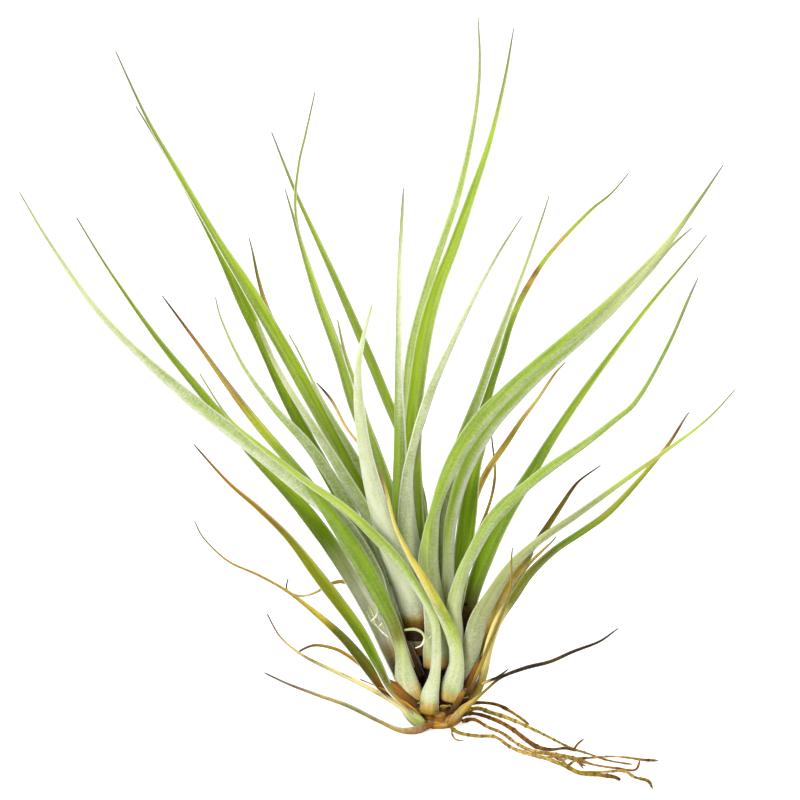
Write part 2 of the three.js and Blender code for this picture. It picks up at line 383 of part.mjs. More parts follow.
// Each piece gives way to the ones set before it, with the seat gap between them.
const standing = [];
function seat(name, kind, solid, coated) {
  let fitted = solid;
  for (const other of standing) {
    if (overlaps(fitted.boundingBox(), other.box)) fitted = fitted.subtract(other.coat);
  }
  fitted = largestBody(fitted);
  standing.push({ name, kind, solid: fitted, coat: coated, box: coated.boundingBox() });
}

function meshOf({ name, kind, solid }) {
  const made = solid.getMesh();
  const geometry = new THREE.BufferGeometry();
  geometry.setAttribute("position", new THREE.BufferAttribute(made.vertProperties, 3));
  geometry.setIndex(new THREE.BufferAttribute(made.triVerts, 1));
  geometry.computeVertexNormals();
  const mesh = new THREE.Mesh(geometry, new THREE.MeshStandardMaterial(finish[kind]));
  mesh.name = name;
  return mesh;
}

seat("stem", "bark", stemSolid(), stemSolid(seatGap));
for (const root of roots) {
  const join = (coat) => root.strands.map((s) => rootSolid(s, coat)).reduce((a, b) => a.add(b));
  seat(root.name, "root", join(0), join(seatGap));
}
const frontToBack = [floorLeaf, ...[...leaves].sort((a, b) => b.depth[0] - a.depth[0])];
for (const leaf of frontToBack) {
  const stations = leafStations(leaf, ringStep);
  seat(leaf.name, leaf.kind, bladeSolid(stations), bladeSolid(stations, seatGap));
}

const plant = new THREE.Group();
for (const piece of standing) plant.add(meshOf(piece));

export default plant;
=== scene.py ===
# An air plant: narrow channelled leaves dusted with silver scales, dry lower leaves and wiry roots.
import math
import random
import bpy
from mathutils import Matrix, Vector, noise
from mathutils.bvhtree import BVHTree


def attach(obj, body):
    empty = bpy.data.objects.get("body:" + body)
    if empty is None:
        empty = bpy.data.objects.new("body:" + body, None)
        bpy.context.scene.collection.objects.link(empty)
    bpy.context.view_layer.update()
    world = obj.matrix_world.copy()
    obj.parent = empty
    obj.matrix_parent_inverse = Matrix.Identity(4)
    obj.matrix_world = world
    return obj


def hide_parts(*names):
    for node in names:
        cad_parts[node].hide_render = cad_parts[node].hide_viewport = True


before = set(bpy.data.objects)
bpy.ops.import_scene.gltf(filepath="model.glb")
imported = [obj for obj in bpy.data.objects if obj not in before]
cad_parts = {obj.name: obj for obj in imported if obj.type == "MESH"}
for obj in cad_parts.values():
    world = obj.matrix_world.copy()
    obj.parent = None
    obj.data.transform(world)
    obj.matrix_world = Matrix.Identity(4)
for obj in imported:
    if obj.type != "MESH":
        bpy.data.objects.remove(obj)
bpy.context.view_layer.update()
mm = 0.001

# The view that the leaves are drawn in: from the front, 20 degrees above, a metre and a half away.
view = {"tilt": math.radians(20), "distance": 1500, "across": -12.7, "up": 106.7, "width": 266.7}

# Plain colours by name, as seen on the plant.
colours = {
    "umber": "2a1a05", "brown": "654312", "rust": "91601c", "tan": "bf9f58", "cream": "f8f7e4",
    "straw": "c2a54e", "ochre": "9a8222", "orange": "bd8a28", "yellow": "d8c433", "olive": "6c6f14",
    "vivid": "718f04", "fresh": "88a41a", "lime": "a9c03c", "mist": "b3be76", "silver": "d2d6ba",
    "sage": "949a5c", "yellowish": "94991a", "bright": "96b02c", "citron": "a9b318", "wheat": "e0cf84",
    "char": "2c2820", "grey": "85837a", "soot": "150d04",
}

# Colour stops that several skins share.
silverInside = [(0, "umber"), (0.06, "olive"), (0.14, "vivid"), (0.6, "fresh"), (0.82, "mist"),
                (0.95, "sage")]
limeInside = [(0, "umber"), (0.06, "olive"), (0.14, "vivid"), (0.6, "fresh"), (0.85, "lime"),
              (0.95, "sage")]
mistOutside = [(0, "brown"), (0.04, "olive"), (0.12, "mist"), (0.3, "fresh"), (0.88, "fresh"),
               (0.96, "sage")]
vividOutside = [(0, "brown"), (0.04, "olive"), (0.1, "vivid"), (0.5, "fresh"), (0.88, "fresh"),
                (0.96, "sage")]

# Each skin: colour stops from a leaf's base to its tip, on the face towards the stem (inner) and on the
# other one (outer). A skin with no inner stops has the outer ones on both faces. The umber at the base of the
# inner faces is partly the bases' own brown and partly painted shade of the hollow between the sheaths.
skins = {
    "fresh": {
        "inner": [(0, "umber"), (0.06, "olive"), (0.14, "fresh"), (0.5, "bright"), (0.8, "bright"),
                  (0.93, "sage")],
        "outer": [(0, "brown"), (0.03, "tan"), (0.09, "mist"), (0.3, "fresh"), (0.85, "fresh"),
                  (0.94, "sage")]},
    # Its cream band and light greens are partly painted light: paler where the leaf lies in shade under
    # leaf_left_1.
    "stained": {
        "inner": [(0, "rust"), (0.06, "brown"), (0.09, "tan"), (0.125, "cream"), (0.19, "cream"),
                  (0.25, "mist"), (0.32, "vivid"), (0.4, "fresh"), (0.5, "bright"), (0.85, "bright"),
                  (0.94, "sage")],
        "outer": mistOutside},
    "streaked": {
        "inner": [(0, "rust"), (0.06, "brown"), (0.11, "brown"), (0.15, "olive"), (0.19, "vivid"),
                  (0.45, "vivid"), (0.56, "bright"), (0.85, "bright"), (0.94, "sage")],
        "outer": mistOutside},
    "vivid": {
        "inner": [(0, "umber"), (0.06, "olive"), (0.12, "vivid"), (0.75, "vivid"), (0.88, "fresh"),
                  (0.96, "sage")],
        "outer": vividOutside},
    "silver": {
        "inner": silverInside,
        "outer": [(0, "brown"), (0.04, "brown"), (0.08, "mist"), (0.3, "fresh"), (0.6, "fresh"),
                  (0.82, "mist"), (0.95, "sage")]},
    "clasping": {
        "inner": limeInside,
        "outer": [(0, "rust"), (0.008, "ochre"), (0.02, "tan"), (0.035, "mist"), (0.2, "mist"),
                  (0.3, "fresh"), (0.6, "lime"), (0.85, "lime"), (0.95, "sage")]},
    "pale": {
        "inner": [(0, "olive"), (0.1, "fresh"), (0.6, "lime"), (0.9, "lime")],
        "outer": [(0, "umber"), (0.03, "umber"), (0.05, "brown"), (0.075, "ochre"), (0.1, "sage"),
                  (0.13, "mist"), (0.3, "mist"), (0.7, "lime"), (0.9, "lime")]},
    "rusting": {
        "inner": [(0, "umber"), (0.08, "olive"), (0.14, "vivid"), (0.6, "fresh"), (0.72, "ochre"),
                  (0.86, "rust")],
        "outer": [(0, "brown"), (0.01, "tan"), (0.035, "straw"), (0.06, "mist"), (0.11, "mist"),
                  (0.15, "olive"), (0.22, "vivid"), (0.5, "vivid"), (0.57, "fresh"),
                  (0.66, "citron"), (0.74, "ochre"), (0.82, "ochre"), (0.89, "rust"), (0.94, "brown")]},
    "yellowing": {
        "inner": [(0, "tan"), (0.1, "fresh"), (0.3, "yellow"), (0.6, "yellow"), (0.75, "orange"),
                  (0.9, "rust")],
        "outer": [(0, "rust"), (0.012, "tan"), (0.045, "mist"), (0.24, "lime"), (0.36, "yellow"),
                  (0.6, "yellow"), (0.7, "orange"), (0.78, "tan"), (0.9, "tan")]},
    "patched": {
        "inner": [(0, "umber"), (0.1, "olive"), (0.2, "vivid"), (0.64, "vivid"), (0.7, "lime"),
                  (0.73, "ochre"), (0.75, "straw"), (0.765, "rust"), (0.785, "lime"), (0.83, "straw"),
                  (0.87, "lime"), (0.97, "sage")],
        "outer": [(0, "rust"), (0.1, "olive"), (0.2, "vivid"), (0.64, "fresh"), (0.7, "lime"),
                  (0.73, "rust"), (0.76, "ochre"), (0.79, "lime"), (0.9, "sage")]},
    "ochre": {
        "inner": [(0, "rust"), (0.05, "straw"), (0.12, "olive"), (0.2, "vivid"), (0.46, "yellowish"),
                  (0.58, "yellowish"), (0.66, "ochre"), (0.84, "orange"), (0.92, "rust")],
        "outer": [(0, "rust"), (0.08, "tan"), (0.16, "fresh"), (0.45, "olive"), (0.55, "ochre"),
                  (0.8, "orange"), (0.92, "rust")]},
    "ochreSheath": {
        "inner": [(0, "brown"), (0.12, "ochre"), (0.25, "olive"), (0.4, "vivid"), (0.85, "fresh")],
        "outer": [(0, "tan"), (0.07, "ochre"), (0.15, "wheat"), (0.25, "wheat"), (0.32, "olive"),
                  (0.45, "olive"), (0.55, "vivid"), (0.68, "yellowish"), (0.8, "yellowish"),
                  (0.88, "ochre"), (0.94, "brown")]},
    "dusty": {
        "inner": limeInside,
        "outer": [(0, "brown"), (0.03, "brown"), (0.07, "sage"), (0.55, "sage"), (0.65, "lime"),
                  (0.74, "citron"), (0.85, "lime"), (0.95, "sage")]},
    "olive": {
        "inner": [(0, "brown"), (0.12, "rust"), (0.2, "olive"), (0.36, "olive"), (0.44, "yellow"),
                  (0.6, "straw"), (0.8, "orange"), (0.92, "ochre")],
        "outer": [(0, "brown"), (0.15, "ochre"), (0.3, "olive"), (0.5, "straw"), (0.8, "ochre")]},
    "orange": {
        "outer": [(0, "brown"), (0.2, "ochre"), (0.5, "orange"), (0.8, "straw"), (0.95, "olive")]},
    "straw": {
        "inner": [(0, "brown"), (0.1, "ochre"), (0.4, "straw"), (0.7, "ochre"), (0.9, "brown")],
        "outer": [(0, "straw"), (0.03, "mist"), (0.09, "mist"), (0.15, "wheat"), (0.5, "wheat"),
                  (0.64, "ochre"), (0.76, "tan"), (0.92, "brown")]},
    "wheaten": {
        "outer": [(0, "brown"), (0.2, "straw"), (0.35, "wheat"), (0.65, "wheat"), (0.9, "straw")]},
    "golden": {
        "inner": [(0, "brown"), (0.2, "ochre"), (0.4, "straw"), (0.6, "straw"), (0.7, "ochre"),
                  (0.86, "wheat"), (0.96, "ochre")],
        "outer": [(0, "brown"), (0.3, "ochre"), (0.6, "straw"), (0.9, "ochre")]},
    "withered": {
        "inner": [(0, "rust"), (0.3, "olive"), (0.44, "wheat"), (0.54, "straw"), (0.63, "olive"),
                  (0.76, "ochre"), (0.88, "brown"), (0.96, "umber")],
        "outer": [(0, "rust"), (0.4, "olive"), (0.8, "brown")]},
    "wisp": {
        "outer": [(0, "mist"), (0.5, "mist"), (0.9, "cream")]},
    "husk": {
        "inner": [(0, "brown"), (0.1, "straw"), (0.4, "cream"), (0.7, "straw"), (0.9, "tan")],
        "outer": [(0, "brown"), (0.14, "brown"), (0.22, "ochre"), (0.4, "ochre"), (0.5, "straw"),
                  (0.62, "ochre"), (0.88, "ochre"), (0.96, "olive")]},
    "dry": {
        "inner": [(0, "umber"), (0.25, "rust"), (0.5, "orange"), (0.8, "ochre"), (0.93, "brown")],
        "outer": [(0, "brown"), (0.3, "rust"), (0.6, "tan"), (0.9, "brown")]},
    "rag": {
        "inner": [(0, "brown"), (0.3, "rust"), (0.6, "orange"), (0.9, "rust")],
        "outer": [(0, "rust"), (0.25, "orange"), (0.5, "tan"), (0.8, "orange")]},
    "decayed": {
        "inner": [(0, "umber"), (0.5, "umber"), (0.9, "brown")],
        "outer": [(0, "umber"), (0.45, "brown"), (0.8, "rust")]},
    "deepening": {
        "inner": [(0, "umber"), (0.06, "olive"), (0.12, "vivid"), (0.4, "vivid"), (0.55, "fresh"),
                  (0.85, "fresh"), (0.95, "sage")],
        "outer": vividOutside},
    "recessed": {
        "inner": silverInside,
        "outer": [(0, "umber"), (0.1, "brown"), (0.15, "olive"), (0.22, "fresh"), (0.85, "fresh"),
                  (0.94, "sage")]},
    "trailing": {
        "inner": [(0, "brown"), (0.3, "orange"), (0.6, "straw"), (0.9, "brown")],
        "outer": [(0, "rust"), (0.12, "rust"), (0.22, "ochre"), (0.5, "olive"), (0.6, "straw"),
                  (0.85, "brown")]},
    "scorched": {
        "inner": [(0, "rust"), (0.5, "brown")],
        "outer": [(0, "rust"), (0.35, "rust"), (0.75, "brown")]},
    "sheathed": {
        "inner": silverInside,
        "outer": [(0, "brown"), (0.012, "tan"), (0.028, "mist"), (0.3, "fresh"), (0.6, "fresh"),
                  (0.82, "mist"), (0.95, "sage")]},
    "charred": {
        "outer": [(0, "soot")]},
    "umber": {
        "inner": [(0, "rust"), (0.15, "olive"), (0.4, "olive"), (0.6, "brown"), (0.8, "olive"),
                  (0.93, "umber")],
        "outer": [(0, "tan"), (0.15, "straw"), (0.27, "ochre"), (0.36, "umber"), (0.7, "umber"),
                  (0.85, "soot")]},
}
tips = {"soft": [(0.985, "grey")], "dark": [(0.965, "char"), (1, "grey")], "green": []}

# Every leaf as it is drawn: (across, up, width) in millimetres from its base to its tip.
# forward is how far in front of the stem its base and its tip stand, and bend how late it leaves its
# base's place. shows is the face that the view sees, turn its roll in degrees, and frost how silvery its
# upper and lower half are; a paler lower half is partly silver scales and partly painted light from below.
# sheath is the frost of its base, up to the share sheathEnd, rim the frost of its edges, partly pale scales
# and partly a painted rim highlight, and rimWidth how wide they are, fade how the frost wears off along it,
# bare the unfrosted length of its base, and open how much less painted shade it gets in the hollows. What
# leafLook gives isn't repeated.
leafLook = {"slot": "leaf_green", "shows": "inner", "turn": 30, "bend": 1.1, "tip": "soft"}
leaves = {}
leaves["leaf_front_1"] = {
    "slot": "leaf_silver", "skin": "clasping", "forward": (9.3, 50), "bend": 2,
    "shows": "outer", "turn": 25, "frost": (0.15, 0.75), "sheath": (0.7, 0.85),
    "rim": (0.3, 1), "rimWidth": 1.3,
    "fade": [(0.34, 1), (0.5, 0.35), (0.8, 0.35), (0.97, 0.1)], "tip": "green",
    "line": [
        (-3, 2, 6.5), (-2.6, 8, 5.5), (-1, 15, 3.4), (-0.5, 24, 3.1), (-1.2, 33, 2.8), (-5.5, 42, 2.8),
        (-15, 55, 3.6), (-30, 69.7, 2.7), (-45, 80.4, 2), (-60, 92, 1.4), (-70, 101, 0.7),
        (-79.5, 115.5, 0.4)]}
leaves["leaf_front_2"] = {
    "slot": "leaf_gold", "skin": "yellowing", "forward": (8.6, 26), "bend": 1,
    "shows": "outer", "turn": 25, "frost": (0.05, 0.7), "sheath": (0.6, 0.9), "tip": "dark",
    "line": [
        (4.2, 6, 7), (4.8, 11, 7), (6.3, 19, 4.6), (5.2, 27, 4.4), (1.5, 35.5, 3.8), (-3.6, 45, 2.9),
        (-9.6, 55, 1.8), (-14.4, 65, 1.1), (-17, 75.5, 0.9), (-19.6, 82, 0.9), (-23.5, 88.5, 0.9),
        (-30.4, 97.2, 0.9), (-35.3, 106.3, 0.9), (-40.5, 112.5, 0.4)]}
leaves["leaf_front_3"] = {
    "slot": "leaf_silver", "skin": "pale", "forward": (3.5, 66), "bend": 1.6,
    "shows": "outer", "turn": 20, "frost": (0.75, 0.9), "bare": 7,
    "fade": [(0.85, 1), (1, 0.7)], "tip": "green",
    "line": [
        (-6.8, 26.5, 9.6), (-7.6, 35, 10.7), (-10.9, 46, 9.6), (-15.4, 57.5, 7.8), (-20.4, 73, 6),
        (-24.4, 90, 4.2), (-26.3, 105, 3.2), (-26.5, 118, 2), (-25, 127, 1.3), (-22, 138.5, 0.5)]}
leaves["leaf_left_1"] = {
    "skin": "rusting", "forward": (6.3, 38), "bend": 1.2,
    "shows": "outer", "frost": (0.05, 0.15), "sheath": (0.8, 0.95), "sheathEnd": 0.14,
    "rim": (0.2, 1), "rimWidth": 1.6, "tip": "dark",
    "line": [
        (-7, 6, 7), (-10.3, 13, 6.8), (-12, 22, 4), (-14.5, 31, 4.4), (-20.5, 43.5, 5.7), (-28.2, 57, 6),
        (-36.5, 69.5, 4.3), (-45, 81, 3.2), (-60, 98.5, 2.9), (-70, 111.5, 2), (-80, 125.3, 1.1),
        (-92, 141.5, 0.4)]}
leaves["leaf_left_2"] = {
    "slot": "leaf_silver", "skin": "silver", "forward": (3.8, 22),
    "shows": "outer", "turn": 40, "frost": (0.45, 0.95),
    "line": [
        (-9.5, 17, 3.6), (-14.6, 31, 4.2), (-18.6, 41, 4.7), (-22, 50.5, 5), (-31, 65, 4.8),
        (-44, 76, 4.5), (-60, 89.5, 4.5), (-80, 105, 4.2), (-100, 122.5, 2.6), (-115, 138.5, 1.9),
        (-130, 160, 0.9), (-139.5, 176, 0.4)]}
leaves["leaf_left_3"] = {
    "skin": "stained", "forward": (0.5, -12), "bend": 1,
    "turn": 40, "frost": (0, 0.1), "sheath": (0.3, 0.8), "sheathEnd": 0.32,
    "bare": 9, "open": 0.35,
    "line": [
        (-7, 7, 4.2), (-12, 14, 3.8), (-16.4, 23, 4.2), (-21.2, 34, 5), (-28.7, 47, 4.9), (-37.3, 60.5, 5.3),
        (-48.8, 75, 4.6), (-62, 89, 3.2), (-80, 110.5, 2.6), (-95, 129, 1.6), (-110, 150.5, 0.8),
        (-120.5, 167.5, 0.4)]}
leaves["leaf_left_4"] = {
    "skin": "ochre", "forward": (7, 25), "bend": 1.2,
    "turn": 35, "frost": (0, 0.03), "sheath": (0, 0.5), "bare": 6, "tip": "dark",
    "line": [
        (-8, 3.5, 2.5), (-15.5, 10, 2.2), (-20.2, 19, 3.1), (-27, 31, 3.8), (-39.4, 47.5, 3.8),
        (-50, 61, 2.3), (-60, 70.7, 1.7), (-70, 79.3, 1), (-81.5, 92, 0.4)]}
leaves["leaf_left_5"] = {
    "slot": "leaf_gold", "skin": "olive", "forward": (4.5, 12), "bend": 1.2,
    "turn": 35, "frost": (0, 0.04), "tip": "dark",
    "line": [
        (-9, 5, 2.5), (-16.5, 9.5, 3.4), (-22, 16, 3.8), (-31, 26.8, 2.8), (-40, 35, 1.8),
        (-50, 42.8, 1), (-60, 48.4, 0.8), (-70, 53, 0.6), (-78, 60.5, 0.4), (-81.2, 66.5, 0.3)]}
leaves["dry_curl_1"] = {
    "slot": "leaf_dry", "skin": "golden", "forward": (-1, -18), "bend": 1, "frost": (0, 0), "tip": "dark",
    "line": [
        (-7, 10, 1.5), (-18, 26, 1.4), (-26.5, 42, 1.3), (-31, 46, 1.3), (-36, 45.4, 1),
        (-41, 42.5, 0.7), (-46, 41.4, 0.6), (-50.3, 43.4, 0.5), (-50, 47.2, 0.4)]}
leaves["dry_leaf_left_1"] = {
    "slot": "leaf_dry", "skin": "straw", "forward": (9.5, -2), "bend": 1,
    "shows": "outer", "frost": (0.3, 0.6), "tip": "dark",
    "line": [
        (-4.6, -1.4, 2.2), (-6.8, -0.2, 4), (-9.6, 2, 3.4), (-13, 5, 1.9), (-25, 11.7, 1.5), (-35, 16.5, 1.3),
        (-45, 21.5, 0.9), (-52.5, 27.6, 0.6), (-57, 35.5, 0.4)]}
leaves["dry_curl_2"] = {
    "slot": "leaf_dry", "skin": "dry", "forward": (1.5, -14), "bend": 1, "frost": (0, 0), "tip": "dark",
    "line": [
        (-8, 5, 1.6), (-18, 12, 1.4), (-24, 17, 1.3), (-30.3, 21.7, 1.1), (-35, 24, 1), (-41, 25, 0.8),
        (-45.5, 23.4, 0.6), (-46.8, 22, 0.4)]}
leaves["leaf_high_1"] = {
    "skin": "deepening", "forward": (-5.5, -48),
    "turn": 35, "frost": (0, 0.1),
    "line": [
        (-6, 8, 7.5), (-7.5, 17, 7), (-12, 32, 4.5), (-19, 50, 4.5), (-27, 65, 4.3), (-39, 86, 4.2),
        (-50, 106.5, 3.8), (-59, 126.5, 3.6), (-65, 139.5, 4), (-74, 158, 2.3), (-86, 180.5, 1.4),
        (-100.8, 204.7, 0.4)]}
leaves["leaf_high_2"] = {
    "skin": "fresh", "forward": (-1.5, -28), "frost": (0, 0.2),
    "line": [
        (-4, 20, 4), (-10, 36, 4.2), (-18, 60, 4.2), (-30, 85, 4.1), (-40, 103.3, 4.8), (-51, 123, 4.6),
        (-63, 143.5, 4), (-74, 161, 2.3), (-86, 181.5, 1.8), (-97, 200.5, 1), (-107.5, 223, 0.4)]}
leaves["leaf_high_3"] = {
    "slot": "leaf_silver", "skin": "silver", "forward": (2, 12),
    "shows": "outer", "frost": (0.4, 0.8), "tip": "green",
    "line": [
        (-4.5, 22, 4.5), (-12, 42, 4.6), (-20, 62, 4.4), (-28, 76, 3.8), (-38.5, 93, 2.8),
        (-49, 109.5, 1.9), (-55, 120.3, 1.4), (-60.7, 133, 0.4)]}
leaves["leaf_high_4"] = {
    "slot": "leaf_silver", "skin": "silver", "forward": (0, -10), "bend": 1,
    "shows": "outer", "turn": 35, "frost": (0.2, 0.6),
    "line": [
        (-3.5, 26, 3), (-10, 50, 3), (-20, 73, 2.8), (-28, 88, 2.5), (-38, 105.5, 1.2),
        (-46, 121.8, 0.6), (-49.8, 128.7, 0.35)]}
leaves["leaf_high_5"] = {
    "skin": "recessed", "forward": (1.5, 4), "bend": 1,
    "shows": "outer", "turn": 40, "frost": (0.45, 0.55), "bare": 22,
    "line": [
        (-6, 14, 4), (-13, 30, 4.4), (-21, 52, 4.4), (-32, 75, 4), (-43, 91.3, 3.2), (-55, 104.6, 2),
        (-65, 118.3, 1.1), (-72, 133, 0.6), (-74.2, 141, 0.35)]}
leaves["leaf_high_6"] = {
    "slot": "leaf_gold", "skin": "orange", "forward": (-4, -62),
    "turn": 35, "frost": (0.05, 0.1),
    "line": [
        (-4, 24, 2), (-16, 58, 2.2), (-29.5, 85, 2), (-42, 107, 1.8), (-51.8, 126, 1.6), (-57, 137.5, 1.5),
        (-59.8, 146.5, 1.1), (-61.8, 156, 0.6), (-63, 160.7, 0.35)]}
leaves["leaf_centre_1"] = {
    "skin": "fresh", "forward": (-8, -75), "frost": (0.03, 0.2),
    "line": [
        (-1, 7, 9), (-1.5, 16, 8.5), (-3, 32, 5.5), (-5, 58, 4.2), (-8, 78, 4), (-11.5, 93.5, 3.7),
        (-16.3, 105, 3.4), (-22.5, 120, 3.2), (-32, 142, 2.5), (-39.5, 158.5, 1.9), (-47.3, 175.5, 1.2),
        (-55.5, 196, 0.4)]}
leaves["leaf_centre_2"] = {
    "skin": "fresh", "forward": (-6.5, -60),
    "turn": 35, "frost": (0.05, 0.35),
    "line": [
        (-4, 13, 8), (-4.2, 22, 6.5), (-5.8, 38, 4.5), (-9, 55, 3.2), (-17, 80, 3), (-24, 99, 2.8),
        (-29, 112, 2.6), (-31.8, 120, 2.4), (-35.8, 131, 2.1), (-40.3, 143, 1.6), (-44.2, 154.5, 1.1),
        (-46.8, 164.5, 0.9), (-47.6, 174, 0.9), (-46.3, 186, 0.8), (-44.2, 195, 0.7), (-41, 209.5, 0.35)]}
leaves["leaf_centre_3"] = {
    "skin": "fresh", "forward": (-2.5, -42), "frost": (0.05, 0.3),
    "line": [
        (-3, 27, 4), (-9, 52, 4.2), (-17.5, 78, 4), (-23, 92, 3.8), (-28.5, 106, 3.4), (-32.7, 120, 3),
        (-36.2, 130, 2.9), (-39.8, 140, 2.8), (-43, 150, 2.2), (-46, 160, 1.5), (-48.3, 168, 0.9),
        (-51, 177, 0.35)]}
leaves["leaf_centre_4"] = {
    "slot": "leaf_silver", "skin": "fresh", "forward": (-1, -12), "frost": (0.1, 0.4), "tip": "green",
    "line": [
        (-3, 28, 4.5), (-8, 48, 4.8), (-13.8, 66.5, 4.7), (-19.2, 84.5, 4), (-23, 95.5, 3),
        (-27.3, 111, 1.8), (-31, 122, 1.2), (-33.5, 133.5, 0.4)]}
leaves["leaf_centre_5"] = {
    "slot": "leaf_silver", "skin": "silver", "forward": (0.6, 14), "bend": 1.2,
    "shows": "outer", "turn": 25, "frost": (0.75, 0.25), "rim": (0.9, 0.4), "rimWidth": 1.5,
    "fade": [(0.42, 0.25), (0.56, 1), (0.8, 1), (0.97, 0.2)],
    "line": [
        (-4, 29, 4.8), (-9, 46, 5), (-12, 60, 5), (-12.8, 75, 4.6), (-12.6, 92, 4), (-13, 110, 2.8),
        (-13, 130, 2.1), (-12.8, 150, 1.5), (-12, 168, 0.9), (-11.5, 177.3, 0.35)]}
leaves["leaf_centre_6"] = {
    "slot": "leaf_silver", "skin": "silver", "forward": (3, 35), "bend": 1.2,
    "shows": "outer", "turn": 25, "frost": (0.55, 0.95),
    "line": [
        (-3, 30, 5.6), (-5.5, 44, 6.4), (-8.6, 55, 6.6), (-10.3, 65, 6), (-10.7, 73, 4.7),
        (-10.2, 82, 3.4), (-8.4, 91, 2.6), (-5.4, 101, 3.1), (-1.8, 111.5, 2.9), (4, 124.5, 2.1),
        (12, 141, 1.3), (20, 155.5, 0.8), (28, 168, 0.35)]}
leaves["leaf_tall_1"] = {
    "skin": "fresh", "forward": (-6.5, -50), "frost": (0.25, 0.3),
    "line": [
        (1.5, 16, 8), (0, 27, 6.5), (-3.2, 42, 5), (-6, 58, 4.4), (-9, 78, 4.2), (-10.4, 98, 3.8),
        (-9.6, 118, 3.6), (-6.9, 132, 3.4), (-2.4, 148, 3), (2, 161, 2.6), (6.6, 175, 2.4),
        (10.2, 190, 1.9), (13, 206, 1.3), (13.9, 220, 0.9), (13.3, 234.3, 0.35)]}
leaves["leaf_tall_2"] = {
    "skin": "fresh", "forward": (-1, -15),
    "turn": 20, "frost": (0, 0.15),
    "line": [
        (-0.5, 33, 4.6), (-5, 58, 5), (-7.8, 78, 5.2), (-8.6, 96, 5.2), (-7.3, 110, 5.2), (-4.4, 129, 5),
        (-0.2, 144, 4.2), (5, 157.5, 3.7), (11, 174.5, 2.9), (17.2, 193, 1.8), (22, 212.5, 1.1),
        (25.2, 230.6, 0.35)]}
leaves["leaf_centre_7"] = {
    "skin": "fresh", "forward": (0, 6), "bend": 1,
    "turn": 25, "frost": (0.02, 0.2), "tip": "green",
    "line": [
        (-2, 32, 4), (-4.5, 48, 4), (-6, 60, 3.8), (-6.8, 72, 3.6), (-7, 82, 3.1), (-6.5, 90, 1.8),
        (-5.6, 96, 0.4)]}
leaves["leaf_centre_8"] = {
    "skin": "fresh", "forward": (-1.5, -6), "bend": 1,
    "turn": 25, "frost": (0.05, 0.15), "tip": "green",
    "line": [
        (-1, 33, 3), (-3, 52, 2.8), (-4.2, 64, 2.4), (-4.7, 73, 1.7), (-5.6, 79.5, 0.4)]}
leaves["leaf_right_1"] = {
    "skin": "silver", "forward": (-5, -35), "frost": (0.15, 0.65),
    "line": [
        (5.5, 12, 7.5), (3.8, 22, 6.5), (1.4, 36, 5), (-0.2, 50, 4.2), (0.4, 64, 4.2), (2.4, 76, 4),
        (6, 88, 3.8), (10, 99, 3.5), (14.3, 110, 3), (19.4, 125, 2.6), (24.9, 140, 1.5), (30.4, 155, 1),
        (35, 168.5, 0.6), (37, 174.8, 0.35)]}
leaves["leaf_right_2"] = {
    "slot": "leaf_gold", "skin": "patched", "forward": (-7.5, -60), "frost": (0, 0.08),
    "line": [
        (4.5, 9, 8.5), (4.2, 18, 7.5), (2.6, 34, 5), (1.6, 56, 3.6), (2.8, 68, 3.6), (5.4, 79, 3.6),
        (10.4, 93, 3.6), (15, 104, 3.4), (18.7, 115, 2.5), (21.5, 123, 2.1), (24.5, 133, 2),
        (29, 143, 2), (37, 155.3, 1.4), (50, 169.2, 1), (57.5, 175.4, 0.6), (63.5, 182.3, 0.35)]}
leaves["leaf_right_3"] = {
    "skin": "sheathed", "forward": (5, 40), "bend": 1.2,
    "shows": "outer", "frost": (0.1, 0.6), "sheath": (0.45, 0.5), "open": 0.4,
    "line": [
        (-0.2, 17, 9.2), (-0.1, 22, 9.6), (-0.6, 30, 7.8), (-1.8, 41, 6.6), (-3.3, 53, 6.6),
        (-2.4, 63, 4.8), (-1.1, 69.7, 3.6),
        (1.2, 77, 4.1), (4.2, 84, 5), (8.2, 91.5, 5.5), (14, 99.6, 5.5), (21, 107.3, 4.8),
        (35, 120, 4.1), (50, 132.5, 3.9), (60, 142, 2.9), (75, 157.3, 2.2), (85, 170.5, 1.2),
        (95, 185, 0.35)]}
leaves["leaf_right_4"] = {
    "slot": "leaf_silver", "skin": "silver", "forward": (3, 12),
    "shows": "outer", "frost": (0.05, 0.95), "sheath": (0.5, 1),
    "line": [
        (2.4, 26, 4), (3.3, 50, 3.8), (3.7, 62, 3.9), (5.2, 71, 4), (7.8, 80, 4.2), (12.3, 90, 4.6),
        (18.5, 99, 4), (26, 107, 3.2), (35, 116, 3), (50, 129.2, 2.7), (60, 138.6, 2), (70, 149, 1.4),
        (77, 157.3, 1), (84.7, 164.2, 0.35)]}
leaves["dry_leaf_right_1"] = {
    "slot": "leaf_dry", "skin": "golden", "forward": (-2.5, -30), "bend": 1, "frost": (0, 0.05),
    "line": [
        (3, 27, 3), (6.5, 48, 2.8), (9, 60, 2.4), (12, 73, 2.1), (16.2, 82.8, 2), (22.6, 92.2, 1.8),
        (28, 100.3, 1.4), (33.5, 107.5, 1), (38.5, 115, 0.7), (42.3, 119.2, 0.35)]}
leaves["leaf_right_5"] = {
    "skin": "streaked", "forward": (2, -20),
    "turn": 25, "frost": (0, 0.1), "bare": 20,
    "line": [
        (5, 16, 4.5), (8.5, 31, 5), (11.5, 43, 5.3), (16.8, 57, 5.4), (22.8, 69, 4.9), (30.2, 81, 4.1),
        (38.5, 94.7, 3), (48.9, 110, 2.4), (60, 125, 1.7), (71.7, 140, 1.2), (82, 152.3, 0.7),
        (89.5, 161.7, 0.35)]}
leaves["leaf_right_6"] = {
    "skin": "vivid", "forward": (0.5, -4), "bend": 1,
    "turn": 15, "frost": (0, 0.04), "tip": "green",
    "line": [
        (3, 24, 4.5), (6.8, 45, 5.4), (8.8, 60, 6), (10.2, 71, 5.8), (11.6, 79, 4), (13.4, 85.5, 2.2),
        (15.8, 91.2, 0.4)]}
